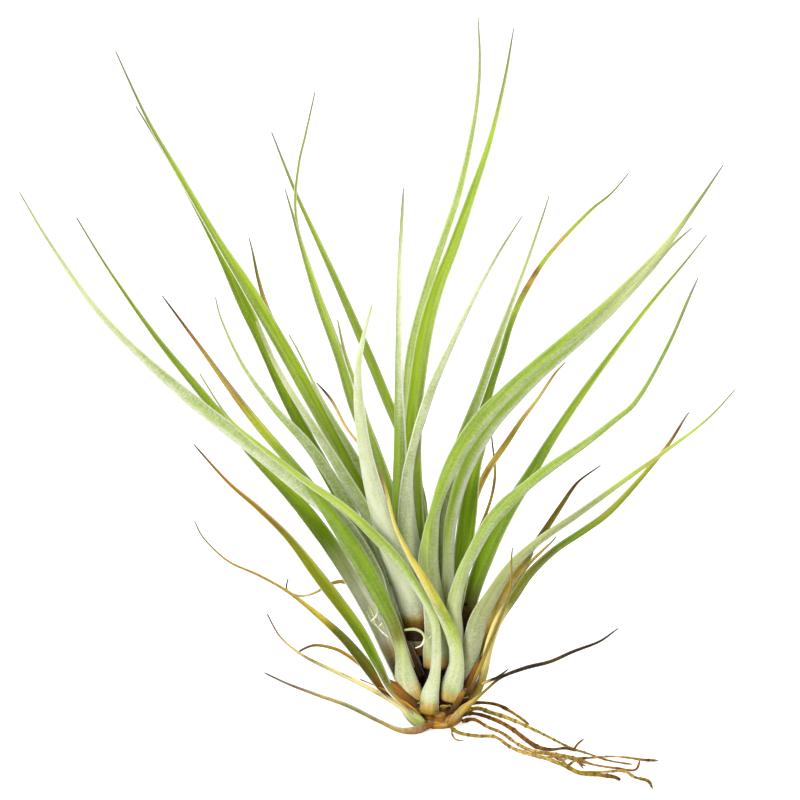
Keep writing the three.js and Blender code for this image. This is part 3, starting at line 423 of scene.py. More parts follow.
leaves["leaf_right_7"] = {
    "skin": "fresh", "forward": (6, 48), "bend": 1.2,
    "shows": "outer", "frost": (0.25, 0.75), "rim": (0.4, 1),
    "fade": [(0.26, 1), (0.4, 0.6), (0.8, 0.6), (0.97, 0.1)], "sheath": (0.3, 0.9),
    "line": [
        (5.8, 14, 4), (5.9, 28, 4.6), (5.3, 38, 4.8), (7.8, 48, 4), (11.9, 56.5, 4), (16.7, 65, 4.4),
        (22.5, 71.8, 4.5), (29, 77.7, 3.4), (37, 84, 3.2), (49.5, 92.7, 2.3), (60, 100.9, 1.8),
        (65, 105.2, 1.7), (70.6, 113.5, 1.3), (77.7, 127.1, 1.1), (83.8, 141.2, 0.8),
        (86.7, 147.5, 0.35)]}
leaves["dry_curl_3"] = {
    "slot": "leaf_dry", "skin": "orange", "forward": (-1, -28), "bend": 1, "frost": (0, 0),
    "line": [
        (3.5, 24, 1.4), (8, 46, 1.4), (11.4, 58, 1.3), (13.8, 63.5, 1.2), (16, 69, 0.9),
        (17.8, 74.5, 0.8), (18.8, 80, 0.8), (18.9, 85, 0.6), (18.2, 91, 0.5), (17.8, 95, 0.4)]}
leaves["dry_leaf_right_2"] = {
    "slot": "leaf_dry", "skin": "withered", "forward": (-1, -30), "bend": 1, "frost": (0, 0.1), "tip": "dark",
    "line": [
        (5, 14, 2.6), (14, 30, 2.4), (22, 44, 2.2), (28.5, 53.5, 2.1), (34.3, 61.5, 2),
        (40.5, 70.8, 1.5), (45, 77.5, 1), (48, 80.6, 0.6), (54.2, 84.9, 0.35)]}
leaves["leaf_right_8"] = {
    "skin": "dusty", "forward": (4.5, 55), "bend": 1.2,
    "shows": "outer", "turn": 25, "frost": (0.12, 0.4), "sheath": (0.5, 0.6),
    "line": [
        (7.6, 9.5, 3.4), (10.3, 18.5, 5), (11.6, 26, 6.3), (13.8, 34, 6), (17.8, 41.5, 4.6),
        (24, 50.8, 3.5), (33, 59.3, 2.6), (47.6, 69.4, 2.1), (64, 81.3, 1.6), (75.3, 89.3, 1.2),
        (89.8, 100.4, 0.7), (99, 110.2, 0.35)]}
leaves["dry_leaf_right_3"] = {
    "slot": "leaf_dry", "skin": "husk", "forward": (1, -5), "bend": 1,
    "shows": "outer", "turn": 20, "frost": (0, 0.45),
    "line": [
        (7, 8, 2.4), (13.7, 18, 2.6), (17, 29, 3.6), (20.5, 39, 3.2), (24.7, 46.5, 2.6), (29.2, 52.4, 1.6),
        (31.7, 55.8, 0.5)]}
leaves["dry_leaf_right_4"] = {
    "slot": "leaf_dry", "skin": "wheaten", "forward": (2, 12), "bend": 1,
    "shows": "outer", "turn": 20, "frost": (0, 0),
    "line": [
        (8, 6.5, 1.5), (16, 24, 1.2), (22.3, 38, 1), (26.5, 46.5, 1), (30.5, 52.2, 1), (35, 56.7, 0.8),
        (38, 59.5, 0.5), (39.3, 61.2, 0.35)]}
leaves["leaf_right_9"] = {
    "skin": "ochreSheath", "forward": (3.6, 30), "bend": 1.2,
    "shows": "outer", "frost": (0, 0.15),
    "line": [
        (7.5, 4, 3), (12, 8.5, 2.8), (15, 15, 2.4), (16.8, 24, 2.8), (20, 33, 2.9), (25.5, 41.5, 3),
        (30.6, 48.9, 2.8), (39.1, 56.9, 2.3), (49, 63.5, 2.2), (57.4, 69.8, 2.1), (67.3, 80.4, 1.5),
        (76.7, 91.9, 1.1), (82.3, 100.8, 0.6), (83.8, 102.6, 0.35)]}
leaves["dry_leaf_right_5"] = {
    "slot": "leaf_dry", "skin": "husk", "forward": (5.5, 26), "bend": 1,
    "shows": "outer", "turn": 20, "frost": (0, 0.2),
    "line": [
        (9, 5.5, 1.2), (17, 25, 1.1), (21.3, 35.5, 1), (23.8, 42, 0.8), (24.5, 48, 0.6), (24.4, 53, 0.5),
        (24.8, 57.4, 0.35)]}
leaves["dry_leaf_right_6"] = {
    "slot": "leaf_dry", "skin": "umber", "forward": (8.6, 16), "bend": 1,
    "shows": "outer", "frost": (0, 0.1), "tip": "dark",
    "line": [
        (3.8, -1.4, 1.6), (7.4, 3, 2.6), (12.5, 7, 1.2), (17, 11, 0.8), (21.6, 14.6, 1),
        (29.7, 17.6, 1.3), (37.4, 19.5, 1.1), (45.1, 22.9, 1), (53.6, 26.1, 0.7), (58.8, 29.7, 0.45),
        (60.1, 30.6, 0.35)]}
leaves["dry_leaf_floor"] = {  # lies on the surface, so its fourth number is its height there
    "slot": "leaf_dry", "skin": "trailing", "shows": "outer", "turn": 60, "frost": (0.25, 0), "tip": "dark",
    "line": [
        (-1.5, -0.9, 1, 2.6), (-4.5, -1.9, 1.8, 2.4), (-8, -3, 2, 2.2), (-13, -3, 1.4, 2),
        (-20, 0, 1.1, 1.6), (-30, 5, 1.1, 1.3),
        (-40, 8.5, 0.9, 0.9), (-50, 12.2, 0.6, 0.8), (-57.8, 15.8, 0.4, 0.8)]}

# hiddenFrost is the frost of the face that the view doesn't see; its paler lower half is partly painted light
# from below.
blade = {"step": 1.7, "columns": 8, "rib": 0.8, "margin": 0.2, "tipWidth": 0.16, "ripple": 0.035,
         "cup": [(0, 78), (0.25, 52), (1, 64)], "ribFade": [(0, 1.1), (0.3, 1), (1, 0.7)],
         "frostFade": [(0.8, 1), (0.97, 0.2)], "hiddenFrost": {"inner": (0.02, 0.06), "outer": (0.45, 0.85)},
         "sheathEnd": 0.22, "sheathBlend": 0.12, "bare": 2, "bareBlend": 5, "rippleRate": 0.09,
         "uneven": 0.02, "unevenRate": 0.2, "ribShare": 0.3, "marginShare": 0.22, "leastRings": 12,
         "edgeLeast": 0.3, "edgeFull": 0.7, "halfSharp": 3, "leastRim": 1.2, "innerShift": 7}
fuzz = {"spacing": 1.1, "jitter": (0.7, 1.3), "length": (0.22, 0.42), "thick": 0.05, "from": 0.8,
        "forward": (0.1, 0.9), "inward": (-0.4, 0.8), "sunk": 0.1}


def linear(name):  # a named colour in the renderer's own linear values
    def channel(c):
        return c / 12.92 if c <= 0.04045 else ((c + 0.055) / 1.055) ** 2.4
    code = colours[name]
    return Vector([channel(int(code[i:i + 2], 16) / 255) for i in (0, 2, 4)])


def place(across, up, forward):  # a drawn point that stands that far in front of the stem's middle
    sinT, cosT = math.sin(view["tilt"]), math.cos(view["tilt"])
    offUp = (up - view["up"]) / view["distance"]
    tanT = sinT / cosT
    near = (forward * cosT + tanT * (up + forward * sinT)) / (1 + tanT * offUp)
    x = across - (across - view["across"]) * near / view["distance"]
    return Vector((x, -forward, (up - offUp * near + forward * sinT) / cosT)) * mm


def forwardAtHeight(up, height):  # how far in front a drawn point stands if it lies at that height
    offUp = (up - view["up"]) / view["distance"]
    sinT, cosT = math.sin(view["tilt"]), math.cos(view["tilt"])
    return (height * (cosT + offUp * sinT) - up) / (sinT - offUp * cosT)


def smooth(values, share):  # Catmull-Rom through evenly spaced values
    at = share * (len(values) - 1)
    i = min(int(at), len(values) - 2)
    t = at - i
    a, b, c, d = (values[max(0, min(len(values) - 1, i + k))] for k in (-1, 0, 1, 2))
    bow, twist = 2 * a - 5 * b + 4 * c - d, 3 * b - a - 3 * c + d
    return 0.5 * (2 * b + (c - a) * t + bow * t * t + twist * t ** 3)


def between(stops, share):  # the value of sorted (share, value) stops, eased from one to the next
    if share <= stops[0][0]:
        return stops[0][1]
    for (s0, v0), (s1, v1) in zip(stops, stops[1:]):
        if share <= s1:
            t = (share - s0) / (s1 - s0)
            t = t * t * (3 - 2 * t)
            return v0 * (1 - t) + v1 * t
    return stops[-1][1]


def colourAt(stops, share):  # the same for named colours
    return between([(s, linear(c)) for s, c in stops], share)


def drawnShares(line):  # how far along a drawn line each of its points is, and the line's length
    sums = [0]
    for p, q in zip(line, line[1:]):
        sums.append(sums[-1] + math.hypot(q[0] - p[0], q[1] - p[1]))
    return [s / sums[-1] for s in sums], sums[-1]


# The stations of a drawn leaf: middle, edge and inner-face directions, width, and share of its length.
def drawnStations(leaf, step):
    line = leaf["line"]
    shares, length = drawnShares(line)
    knots = []
    for point, share in zip(line, shares):
        if "forward" in leaf:
            base, tip = leaf["forward"]
            forward = base + (tip - base) * share ** leaf["bend"]
        else:
            forward = forwardAtHeight(point[1], point[3])
        knots.append((point[0], point[1], forward))
    viewer = Vector((0, -math.cos(view["tilt"]), math.sin(view["tilt"])))
    side = -1 if line[-1][0] < 0 else 1
    facing = 1 if leaf["shows"] == "inner" else -1
    count = max(blade["leastRings"], round(length / step))
    roll = math.radians(leaf["turn"])
    near = 0.004  # the direction is read this share before and after a station

    def at(share):
        return place(*(smooth([k[i] for k in knots], share) for i in range(3)))

    stations = []
    for i in range(count):
        share = i / (count - 1)
        along = (at(min(1, share + near)) - at(max(0, share - near))).normalized()
        across = along.cross(viewer).normalized()
        toViewer = across.cross(along).normalized()
        inner = toViewer * facing * math.cos(roll) - across * side * math.sin(roll)
        knot = share * (len(line) - 1)
        k = min(int(knot), len(line) - 2)
        width = max(blade["tipWidth"], smooth([p[2] for p in line], share) / math.cos(roll)) * mm
        stations.append({
            "middle": at(share), "edge": along.cross(inner).normalized(), "inner": inner, "along": along,
            "width": width, "aside": across * side * math.sin(roll) * width,
            "share": shares[k] + (shares[k + 1] - shares[k]) * (knot - k)})
    return stations, -side * facing


def meshOf(name, points, faces, attributes):
    mesh = bpy.data.meshes.new(name)
    mesh.from_pydata(points, [], faces)
    for label, values in attributes.items():
        kind, field = {4: ("FLOAT_COLOR", "color"), 3: ("FLOAT_VECTOR", "vector"), 1: ("FLOAT", "value")}[
            len(values[0]) if isinstance(values[0], tuple) else 1]
        flat = [c for v in values for c in v] if isinstance(values[0], tuple) else values
        mesh.attributes.new(label, kind, "POINT").data.foreach_set(field, flat)
    mesh.polygons.foreach_set("use_smooth", [True] * len(mesh.polygons))
    return mesh


def bladeMesh(name, leaf, stations, upperSide):
    rng = random.Random(name)
    columns = blade["columns"]
    ends = tips[leaf["tip"]]
    skin = skins[leaf["skin"]]
    stops = {face: skin.get(face, skin["outer"]) + ends for face in ("inner", "outer")}
    seed = rng.uniform(0, 50)
    points, faces = [], []
    looks = {"tint": [], "frost": [], "place": [], "rim": [], "edge": []}
    travelled = 0
    nextHair = 0
    hairs = []
    for index, s in enumerate(stations):
        if index:
            travelled += (s["middle"] - stations[index - 1]["middle"]).length / mm
        share, width = s["share"], s["width"]
        cup = math.radians(between(blade["cup"], share)) * leaf.get("cup", 1)
        rib = min(blade["rib"] * mm, width * blade["ribShare"]) * between(blade["ribFade"], share)
        margin = min(blade["margin"] * mm, width * blade["marginShare"])
        wave = noise.noise(Vector((travelled * blade["rippleRate"], seed, 0)))
        ripple = blade["ripple"] * width * wave
        # Moved aside, so that both cupped edges stay on the drawn ones.
        middle = s["middle"] + s["aside"] * math.tan(cup / 2) / 2
        for face in ("outer", "inner"):
            tint = (*colourAt(stops[face], share), 1)
            shown = face == leaf["shows"]
            own = shown or leaf["slot"] == "leaf_dry"
            upper, lower = leaf["frost"] if own else blade["hiddenFrost"][face]
            if shown and "sheath" in leaf:  # the sheath's own frost
                end = leaf.get("sheathEnd", blade["sheathEnd"])
                low = between([(end - blade["sheathBlend"], 1), (end, 0)], share)
                upper, lower = (f * (1 - low) + g * low for f, g in zip((upper, lower), leaf["sheath"]))
            bare = leaf.get("bare", blade["bare"])
            scaled = between(leaf.get("fade", blade["frostFade"]), share)
            scaled *= between([(bare, 0), (bare + blade["bareBlend"], 1)], travelled)
            # edges is how cream the margins are: partly pale scales and partly a painted rim highlight.
            least = blade["edgeLeast"]
            edges = [least + (1 - least) * min(1, f * scaled / blade["edgeFull"]) for f in (upper, lower)]
            if shown and "rim" in leaf:
                edges = [e * between(blade["frostFade"], share) for e in leaf["rim"]]
            order = range(columns + 1) if face == "outer" else range(columns, -1, -1)
            for k in order:
                t = 2 * k / columns - 1
                angle = t * cup
                thick = (rib + (margin - rib) * t * t) / 2 * (1 if face == "inner" else -1)
                u = math.sin(angle) * (width / 2 / math.sin(cup) - thick)
                v = (1 - math.cos(angle)) / math.sin(cup) * width / 2 + math.cos(angle) * thick
                grain = noise.noise(Vector((travelled * blade["unevenRate"], seed, t)))
                v += ripple * t * abs(t) + blade["uneven"] * width * grain
                points.append(middle + s["edge"] * u + s["inner"] * v)
                half = 0.5 + 0.5 * max(-1, min(1, t * upperSide * blade["halfSharp"]))  # 1 on the upper half
                # The frost differs between the halves partly as scale cover and partly as painted light from
                # below.
                frost = (upper * half + lower * (1 - half)) * scaled
                looks["tint"].append(tint)
                looks["frost"].append(frost)
                shift = blade["innerShift"] if face == "inner" else 0
                looks["place"].append((u / mm, travelled, seed + shift))
                halfWidth = max(width / mm / 2, blade["leastRim"])
                looks["rim"].append((1 - abs(t)) * halfWidth / leaf.get("rimWidth", 1))
                looks["edge"].append(edges[0] * half + edges[1] * (1 - half))
                if face == "outer" and k in (0, columns) and travelled > nextHair and lower >= fuzz["from"]:
                    forward = s["along"] * rng.uniform(*fuzz["forward"])
                    inward = s["inner"] * rng.uniform(*fuzz["inward"])
                    hairs.append((points[-1], (s["edge"] * t + forward + inward).normalized()))
        if travelled > nextHair:
            nextHair = travelled + fuzz["spacing"] * rng.uniform(*fuzz["jitter"])
    around = 2 * (columns + 1)
    for i in range(len(stations) - 1):
        for k in range(around):
            a, b = i * around + k, i * around + (k + 1) % around
            faces.append((b, a, a + around, b + around))
    last = (len(stations) - 1) * around
    for j in range(columns):
        low, high = j, around - 1 - j
        faces.append((low, low + 1, high - 1, high))
        faces.append((last + low, last + high, last + high - 1, last + low + 1))
    for root, way in hairs:
        addHair(points, faces, looks, root, way, rng)
    return meshOf(name, points, faces, looks)


def addHair(points, faces, looks, root, way, rng):  # a needle of three sides, closed at its root
    start = len(points)
    aside = way.orthogonal().normalized() * fuzz["thick"] * mm
    third = way.cross(aside)
    root = root - way * fuzz["sunk"] * mm
    for k in range(3):
        angle = 2 * math.pi * k / 3
        points.append(root + aside * math.cos(angle) + third * math.sin(angle))
    points.append(root + way * rng.uniform(*fuzz["length"]) * mm)
    faces += [(start, start + 2, start + 1)]
    faces += [(start + k, start + (k + 1) % 3, start + 3) for k in range(3)]
    looks["tint"] += [(*linear("cream"), 1)] * 4
    looks["frost"] += [1.0] * 4
    looks["place"] += [(0, 0, 0)] * 4
    looks["rim"] += [0.0] * 4
    looks["edge"] += [1.0] * 4


# The shared effects are small node groups that put out masks and heights.
def groupWith(name, inputs, outputs):
    tree = bpy.data.node_groups.new(name, "ShaderNodeTree")
    for label, kind, value in inputs:
        socket = tree.interface.new_socket(name=label, in_out="INPUT", socket_type=kind)
        if value is not None:
            socket.default_value = value
    for label in outputs:
        tree.interface.new_socket(name=label, in_out="OUTPUT", socket_type="NodeSocketFloat")
    return tree, tree.nodes.new("NodeGroupInput").outputs, tree.nodes.new("NodeGroupOutput").inputs


def addNode(tree, kind, settings=None, **links):  # i0, i1... are sockets by number, other names by name
    node = tree.nodes.new(kind)
    for key, value in (settings or {}).items():
        setattr(node, key, value)
    for label, source in links.items():
        byNumber = label[1:].isdigit()
        socket = node.inputs[int(label[1:]) if byNumber else label.replace("_", " ")]
        if isinstance(source, bpy.types.NodeSocket):
            tree.links.new(source, socket)
        else:
            socket.default_value = source
    return node


def mathNode(tree, operation, a, b=0.0, clamp=False):
    settings = {"operation": operation, "use_clamp": clamp}
    return addNode(tree, "ShaderNodeMath", settings, i0=a, i1=b).outputs[0]


def mapRange(tree, value, low, high, toLow=0.0, toHigh=1.0):
    node = addNode(tree, "ShaderNodeMapRange", {"interpolation_type": "SMOOTHSTEP"},
                   Value=value, From_Min=low, From_Max=high, To_Min=toLow, To_Max=toHigh)
    return node.outputs[0]


def mixColour(tree, factor, a, b, blend="MIX"):
    settings = {"data_type": "RGBA", "blend_type": blend}
    return addNode(tree, "ShaderNodeMix", settings, i0=factor, i6=a, i7=b).outputs[2]


def stretched(tree, vector, x, y, z=1.0):
    settings = {"operation": "MULTIPLY"}
    return addNode(tree, "ShaderNodeVectorMath", settings, i0=vector, i1=(x, y, z)).outputs[0]


def scaledBy(tree, vector, size):  # the vector counted in steps of that size
    finer = addNode(tree, "ShaderNodeVectorMath", {"operation": "SCALE"}, i0=vector)
    tree.links.new(mathNode(tree, "DIVIDE", 1.0, size), finer.inputs["Scale"])
    return finer.outputs[0]


# Silver scales: pale dots in fine cross rows, closer together where Amount is high.
def makeSilverScales():
    tree, given, out = groupWith(
        "silverScales",
        [("Vector", "NodeSocketVector", None), ("Size", "NodeSocketFloat", 0.7),
         ("Amount", "NodeSocketFloat", 0.5)],
        ["Mask", "Height"])
    finer = scaledBy(tree, given["Vector"], given["Size"])
    cells = addNode(tree, "ShaderNodeTexVoronoi", {"feature": "F1"}, Vector=finer, Scale=1.0)
    dot = mapRange(tree, cells.outputs["Distance"], 0.1, 0.65, 1.0, 0.0)
    crosswise = stretched(tree, finer, 0.4, 1.4)
    rows = addNode(tree, "ShaderNodeTexNoise", {}, Vector=crosswise, Scale=1.0, Detail=2.0)
    lengthwise = stretched(tree, finer, 0.35, 0.08)
    cloud = addNode(tree, "ShaderNodeTexNoise", {}, Vector=lengthwise, Scale=1.0, Detail=3.0)
    level = mathNode(tree, "MULTIPLY", given["Amount"], mapRange(tree, cloud.outputs[0], 0.3, 0.7, 0.75, 1.2))
    grain = mathNode(tree, "ADD", mathNode(tree, "MULTIPLY", mathNode(tree, "SUBTRACT", dot, 0.45), 0.55),
                     mathNode(tree, "MULTIPLY", mathNode(tree, "SUBTRACT", rows.outputs[0], 0.5), 1.3))
    strength = mapRange(tree, level, 0.0, 0.4, 0.1, 0.5)
    mask = mathNode(tree, "ADD", level, mathNode(tree, "MULTIPLY", grain, strength), True)
    tree.links.new(mask, out["Mask"])
    tree.links.new(mathNode(tree, "MULTIPLY", dot, given["Amount"]), out["Height"])
    return tree


# Lengthwise veins: long thin streaks that follow the blade.
def makeBladeVeins():
    tree, given, out = groupWith(
        "bladeVeins",
        [("Vector", "NodeSocketVector", None), ("Lines", "NodeSocketFloat", 2.2)],
        ["Mask", "Height"])
    long = stretched(tree, given["Vector"], 1.0, 0.035)
    streak = addNode(tree, "ShaderNodeTexNoise", {},
                     Vector=long, Scale=given["Lines"], Detail=4.0, Roughness=0.6)
    fine = addNode(tree, "ShaderNodeTexWave", {"wave_type": "BANDS", "bands_direction": "X"},
                   Vector=long, Scale=1.4, Distortion=1.5, Detail=2.0)
    mask = mapRange(tree, streak.outputs[0], 0.3, 0.7)
    tree.links.new(mask, out["Mask"])
    faint = mathNode(tree, "MULTIPLY", fine.outputs["Fac"], 0.5)
    tree.links.new(mathNode(tree, "ADD", faint, mask), out["Height"])
    return tree


# Dry blotches: ragged darker stains and specks.
def makeDryBlotches():
    tree, given, out = groupWith(
        "dryBlotches",
        [("Vector", "NodeSocketVector", None), ("Size", "NodeSocketFloat", 4.0),
         ("Amount", "NodeSocketFloat", 0.4)],
        ["Mask"])
    finer = scaledBy(tree, stretched(tree, given["Vector"], 1.0, 0.3), given["Size"])
    cloud = addNode(tree, "ShaderNodeTexNoise", {}, Vector=finer, Scale=1.0, Detail=6.0, Roughness=0.68)
    stain = mapRange(tree, cloud.outputs[0], 0.5, 0.68)
    tree.links.new(mathNode(tree, "MULTIPLY", stain, given["Amount"]), out["Mask"])
    return tree


effects = {
    "silverScales": makeSilverScales(),
    "bladeVeins": makeBladeVeins(),
    "dryBlotches": makeDryBlotches(),
}


def useEffect(tree, name, **values):
    return addNode(tree, "ShaderNodeGroup", {"node_tree": effects[name]}, **values).outputs


def readAttribute(tree, name, output):
    return addNode(tree, "ShaderNodeAttribute", {"attribute_name": name}).outputs[output]


paintedShadeLook = {"from": 0.78, "to": 0.95, "strength": 0.95, "dim": (0.22, 0.13, 0.03, 1)}


def paintShadeInHollows(tree, colour):  # painted shade: darker deep between the sheaths, where the baked occlusion is high
    occlusion = readAttribute(tree, "occlusion", "Fac")
    dimmed = mixColour(tree, 1.0, colour, paintedShadeLook["dim"], "MULTIPLY")
    mask = mapRange(tree, occlusion, paintedShadeLook["from"], paintedShadeLook["to"], 0.0, paintedShadeLook["strength"])
    return mixColour(tree, mask, colour, dimmed)


finishes = {
    "leaf_green": {"roughness": 0.5, "scaleSize": 0.7, "scaleShare": 0.9, "veins": 0.7, "blotches": 0.05,
                   "bump": 0.35, "sheen": 0.0, "margin": 0.85},
    "leaf_silver": {"roughness": 0.62, "scaleSize": 0.7, "scaleShare": 1.0, "veins": 0.6, "blotches": 0.04,
                    "bump": 0.45, "sheen": 0.02, "margin": 0.95},
    "leaf_gold": {"roughness": 0.55, "scaleSize": 0.7, "scaleShare": 0.9, "veins": 0.5, "blotches": 0.35,
                  "bump": 0.4, "sheen": 0.03, "margin": 0.4},
    "leaf_dry": {"roughness": 0.7, "scaleSize": 0.7, "scaleShare": 0.7, "veins": 0.85, "blotches": 0.55,
                 "bump": 0.6, "sheen": 0.0, "margin": 0.3},
}


# What every kind of leaf shares: depth is the bump's in metres, and shine the specular level.
bladeLook = {"veinLines": 0.9, "blotchSize": 3.0, "dark": (0.5, 0.54, 0.35, 1), "light": (1.25, 1.2, 1.1, 1),
             "rim": (0.2, 0.5), "frostRoughness": 0.2, "scaleHeight": 0.8, "depth": 0.00012,
             "sheenRoughness": 0.6, "glowThrough": 0.08, "glowRadius": (0.6, 1.0, 0.2), "glowDepth": 0.0006,
             "shine": 0.15}


def bladeMaterial(name, finish):
    material = bpy.data.materials.new(name)
    material.use_nodes = True
    tree = material.node_tree
    shader = tree.nodes["Principled BSDF"]
    tint = readAttribute(tree, "tint", "Color")
    rim = readAttribute(tree, "rim", "Fac")
    spot = readAttribute(tree, "place", "Vector")
    amount = mathNode(tree, "MULTIPLY", readAttribute(tree, "frost", "Fac"), finish["scaleShare"])
    veins = useEffect(tree, "bladeVeins", Vector=spot, Lines=bladeLook["veinLines"])
    scales = useEffect(tree, "silverScales", Vector=spot, Size=finish["scaleSize"], Amount=amount)
    blotches = useEffect(tree, "dryBlotches",
                         Vector=spot, Size=bladeLook["blotchSize"], Amount=finish["blotches"])
    dark = mixColour(tree, 1.0, tint, bladeLook["dark"], "MULTIPLY")
    light = mixColour(tree, 1.0, tint, bladeLook["light"], "MULTIPLY")
    streaked = mixColour(tree, veins["Mask"], light, dark)
    body = mixColour(tree, finish["veins"], tint, streaked)
    frosted = mixColour(tree, scales["Mask"], body, (*linear("silver"), 1))
    edge = mathNode(tree, "MULTIPLY", readAttribute(tree, "edge", "Fac"), finish["margin"])
    # Cream margins: partly pale scale rims and partly a painted rim highlight.
    paleRimAndHighlightMask = mathNode(tree, "MULTIPLY", mapRange(tree, rim, *bladeLook["rim"], 1.0, 0.0), edge)
    paleRimAndHighlighted = mixColour(tree, paleRimAndHighlightMask, frosted, (*linear("cream"), 1))
    stained = mixColour(tree, blotches["Mask"], paleRimAndHighlighted, (*linear("brown"), 1))
    # Painted shade: the colour darkens where the baked occlusion is high.
    tree.links.new(paintShadeInHollows(tree, stained), shader.inputs["Base Color"])
    frostedRoughness = finish["roughness"] + bladeLook["frostRoughness"]
    rough = mapRange(tree, scales["Mask"], 0.0, 1.0, finish["roughness"], frostedRoughness)
    tree.links.new(rough, shader.inputs["Roughness"])
    raised = mathNode(tree, "MULTIPLY", scales["Height"], bladeLook["scaleHeight"])
    height = mathNode(tree, "ADD", raised, veins["Height"])
    bump = addNode(tree, "ShaderNodeBump", {},
                   Strength=finish["bump"], Distance=bladeLook["depth"], Height=height)
    tree.links.new(bump.outputs[0], shader.inputs["Normal"])
    shader.inputs["Sheen Weight"].default_value = finish["sheen"]
    shader.inputs["Sheen Roughness"].default_value = bladeLook["sheenRoughness"]
    shader.inputs["Subsurface Weight"].default_value = bladeLook["glowThrough"]
    shader.inputs["Subsurface Radius"].default_value = bladeLook["glowRadius"]
    shader.inputs["Subsurface Scale"].default_value = bladeLook["glowDepth"]
    shader.inputs["Specular IOR Level"].default_value = bladeLook["shine"]
    return material


barks = {
    "root": {"size": 1.6, "blotches": 0.6, "bump": 0.7},
    "stem_bark": {"size": 2.4, "blotches": 0.7, "bump": 0.9},
}
barkLook = {"dark": (0.45, 0.42, 0.36, 1), "light": (1.35, 1.3, 1.15, 1), "stain": "umber", "finer": 4,
            "roughness": (0.65, 0.95), "grainHeight": 0.5, "depth": 0.0002, "shine": 0.2}


def barkMaterial(name, bark):
    material = bpy.data.materials.new(name)
    material.use_nodes = True
    tree = material.node_tree
    shader = tree.nodes["Principled BSDF"]
    tint = readAttribute(tree, "tint", "Color")
    spot = readAttribute(tree, "place", "Vector")
    cloud = addNode(tree, "ShaderNodeTexNoise", {},
                    Vector=spot, Scale=1 / bark["size"], Detail=6.0, Roughness=0.65).outputs[0]
    grain = addNode(tree, "ShaderNodeTexNoise", {},
                    Vector=spot, Scale=barkLook["finer"] / bark["size"], Detail=3.0).outputs[0]
    blotches = useEffect(tree, "dryBlotches", Vector=spot, Size=bark["size"], Amount=bark["blotches"])
    dark = mixColour(tree, 1.0, tint, barkLook["dark"], "MULTIPLY")
    light = mixColour(tree, 1.0, tint, barkLook["light"], "MULTIPLY")
    mottled = mixColour(tree, mapRange(tree, cloud, 0.35, 0.65), dark, light)
    stained = mixColour(tree, blotches["Mask"], mottled, (*linear(barkLook["stain"]), 1))
    # Painted shade: the colour darkens where the baked occlusion is high.
    tree.links.new(paintShadeInHollows(tree, stained), shader.inputs["Base Color"])
    rough = mapRange(tree, grain, 0.2, 0.8, *barkLook["roughness"])
    tree.links.new(rough, shader.inputs["Roughness"])
    height = mathNode(tree, "ADD", cloud, mathNode(tree, "MULTIPLY", grain, barkLook["grainHeight"]))
    bump = addNode(tree, "ShaderNodeBump", {},
                   Strength=bark["bump"], Distance=barkLook["depth"], Height=height)
    tree.links.new(bump.outputs[0], shader.inputs["Normal"])
    shader.inputs["Specular IOR Level"].default_value = barkLook["shine"]
    return material


materials = {slot: bladeMaterial(slot, finish) for slot, finish in finishes.items()}
materials |= {slot: barkMaterial(slot, bark) for slot, bark in barks.items()}
print("materials:", len(materials))

pieces = []


def addPiece(name, mesh, slot, *nodes):
    piece = bpy.data.objects.new(name, mesh)
    bpy.context.collection.objects.link(piece)
    mesh.materials.append(materials[slot])
    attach(piece, "root")
    if nodes:
        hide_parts(*nodes)
    pieces.append(piece)


for name, leaf in leaves.items():
    leaf = leafLook | leaf
    addPiece(name + "_blade", bladeMesh(name, leaf, *drawnStations(leaf, blade["step"])), leaf["slot"], name)
print("leaves:", len(leaves))

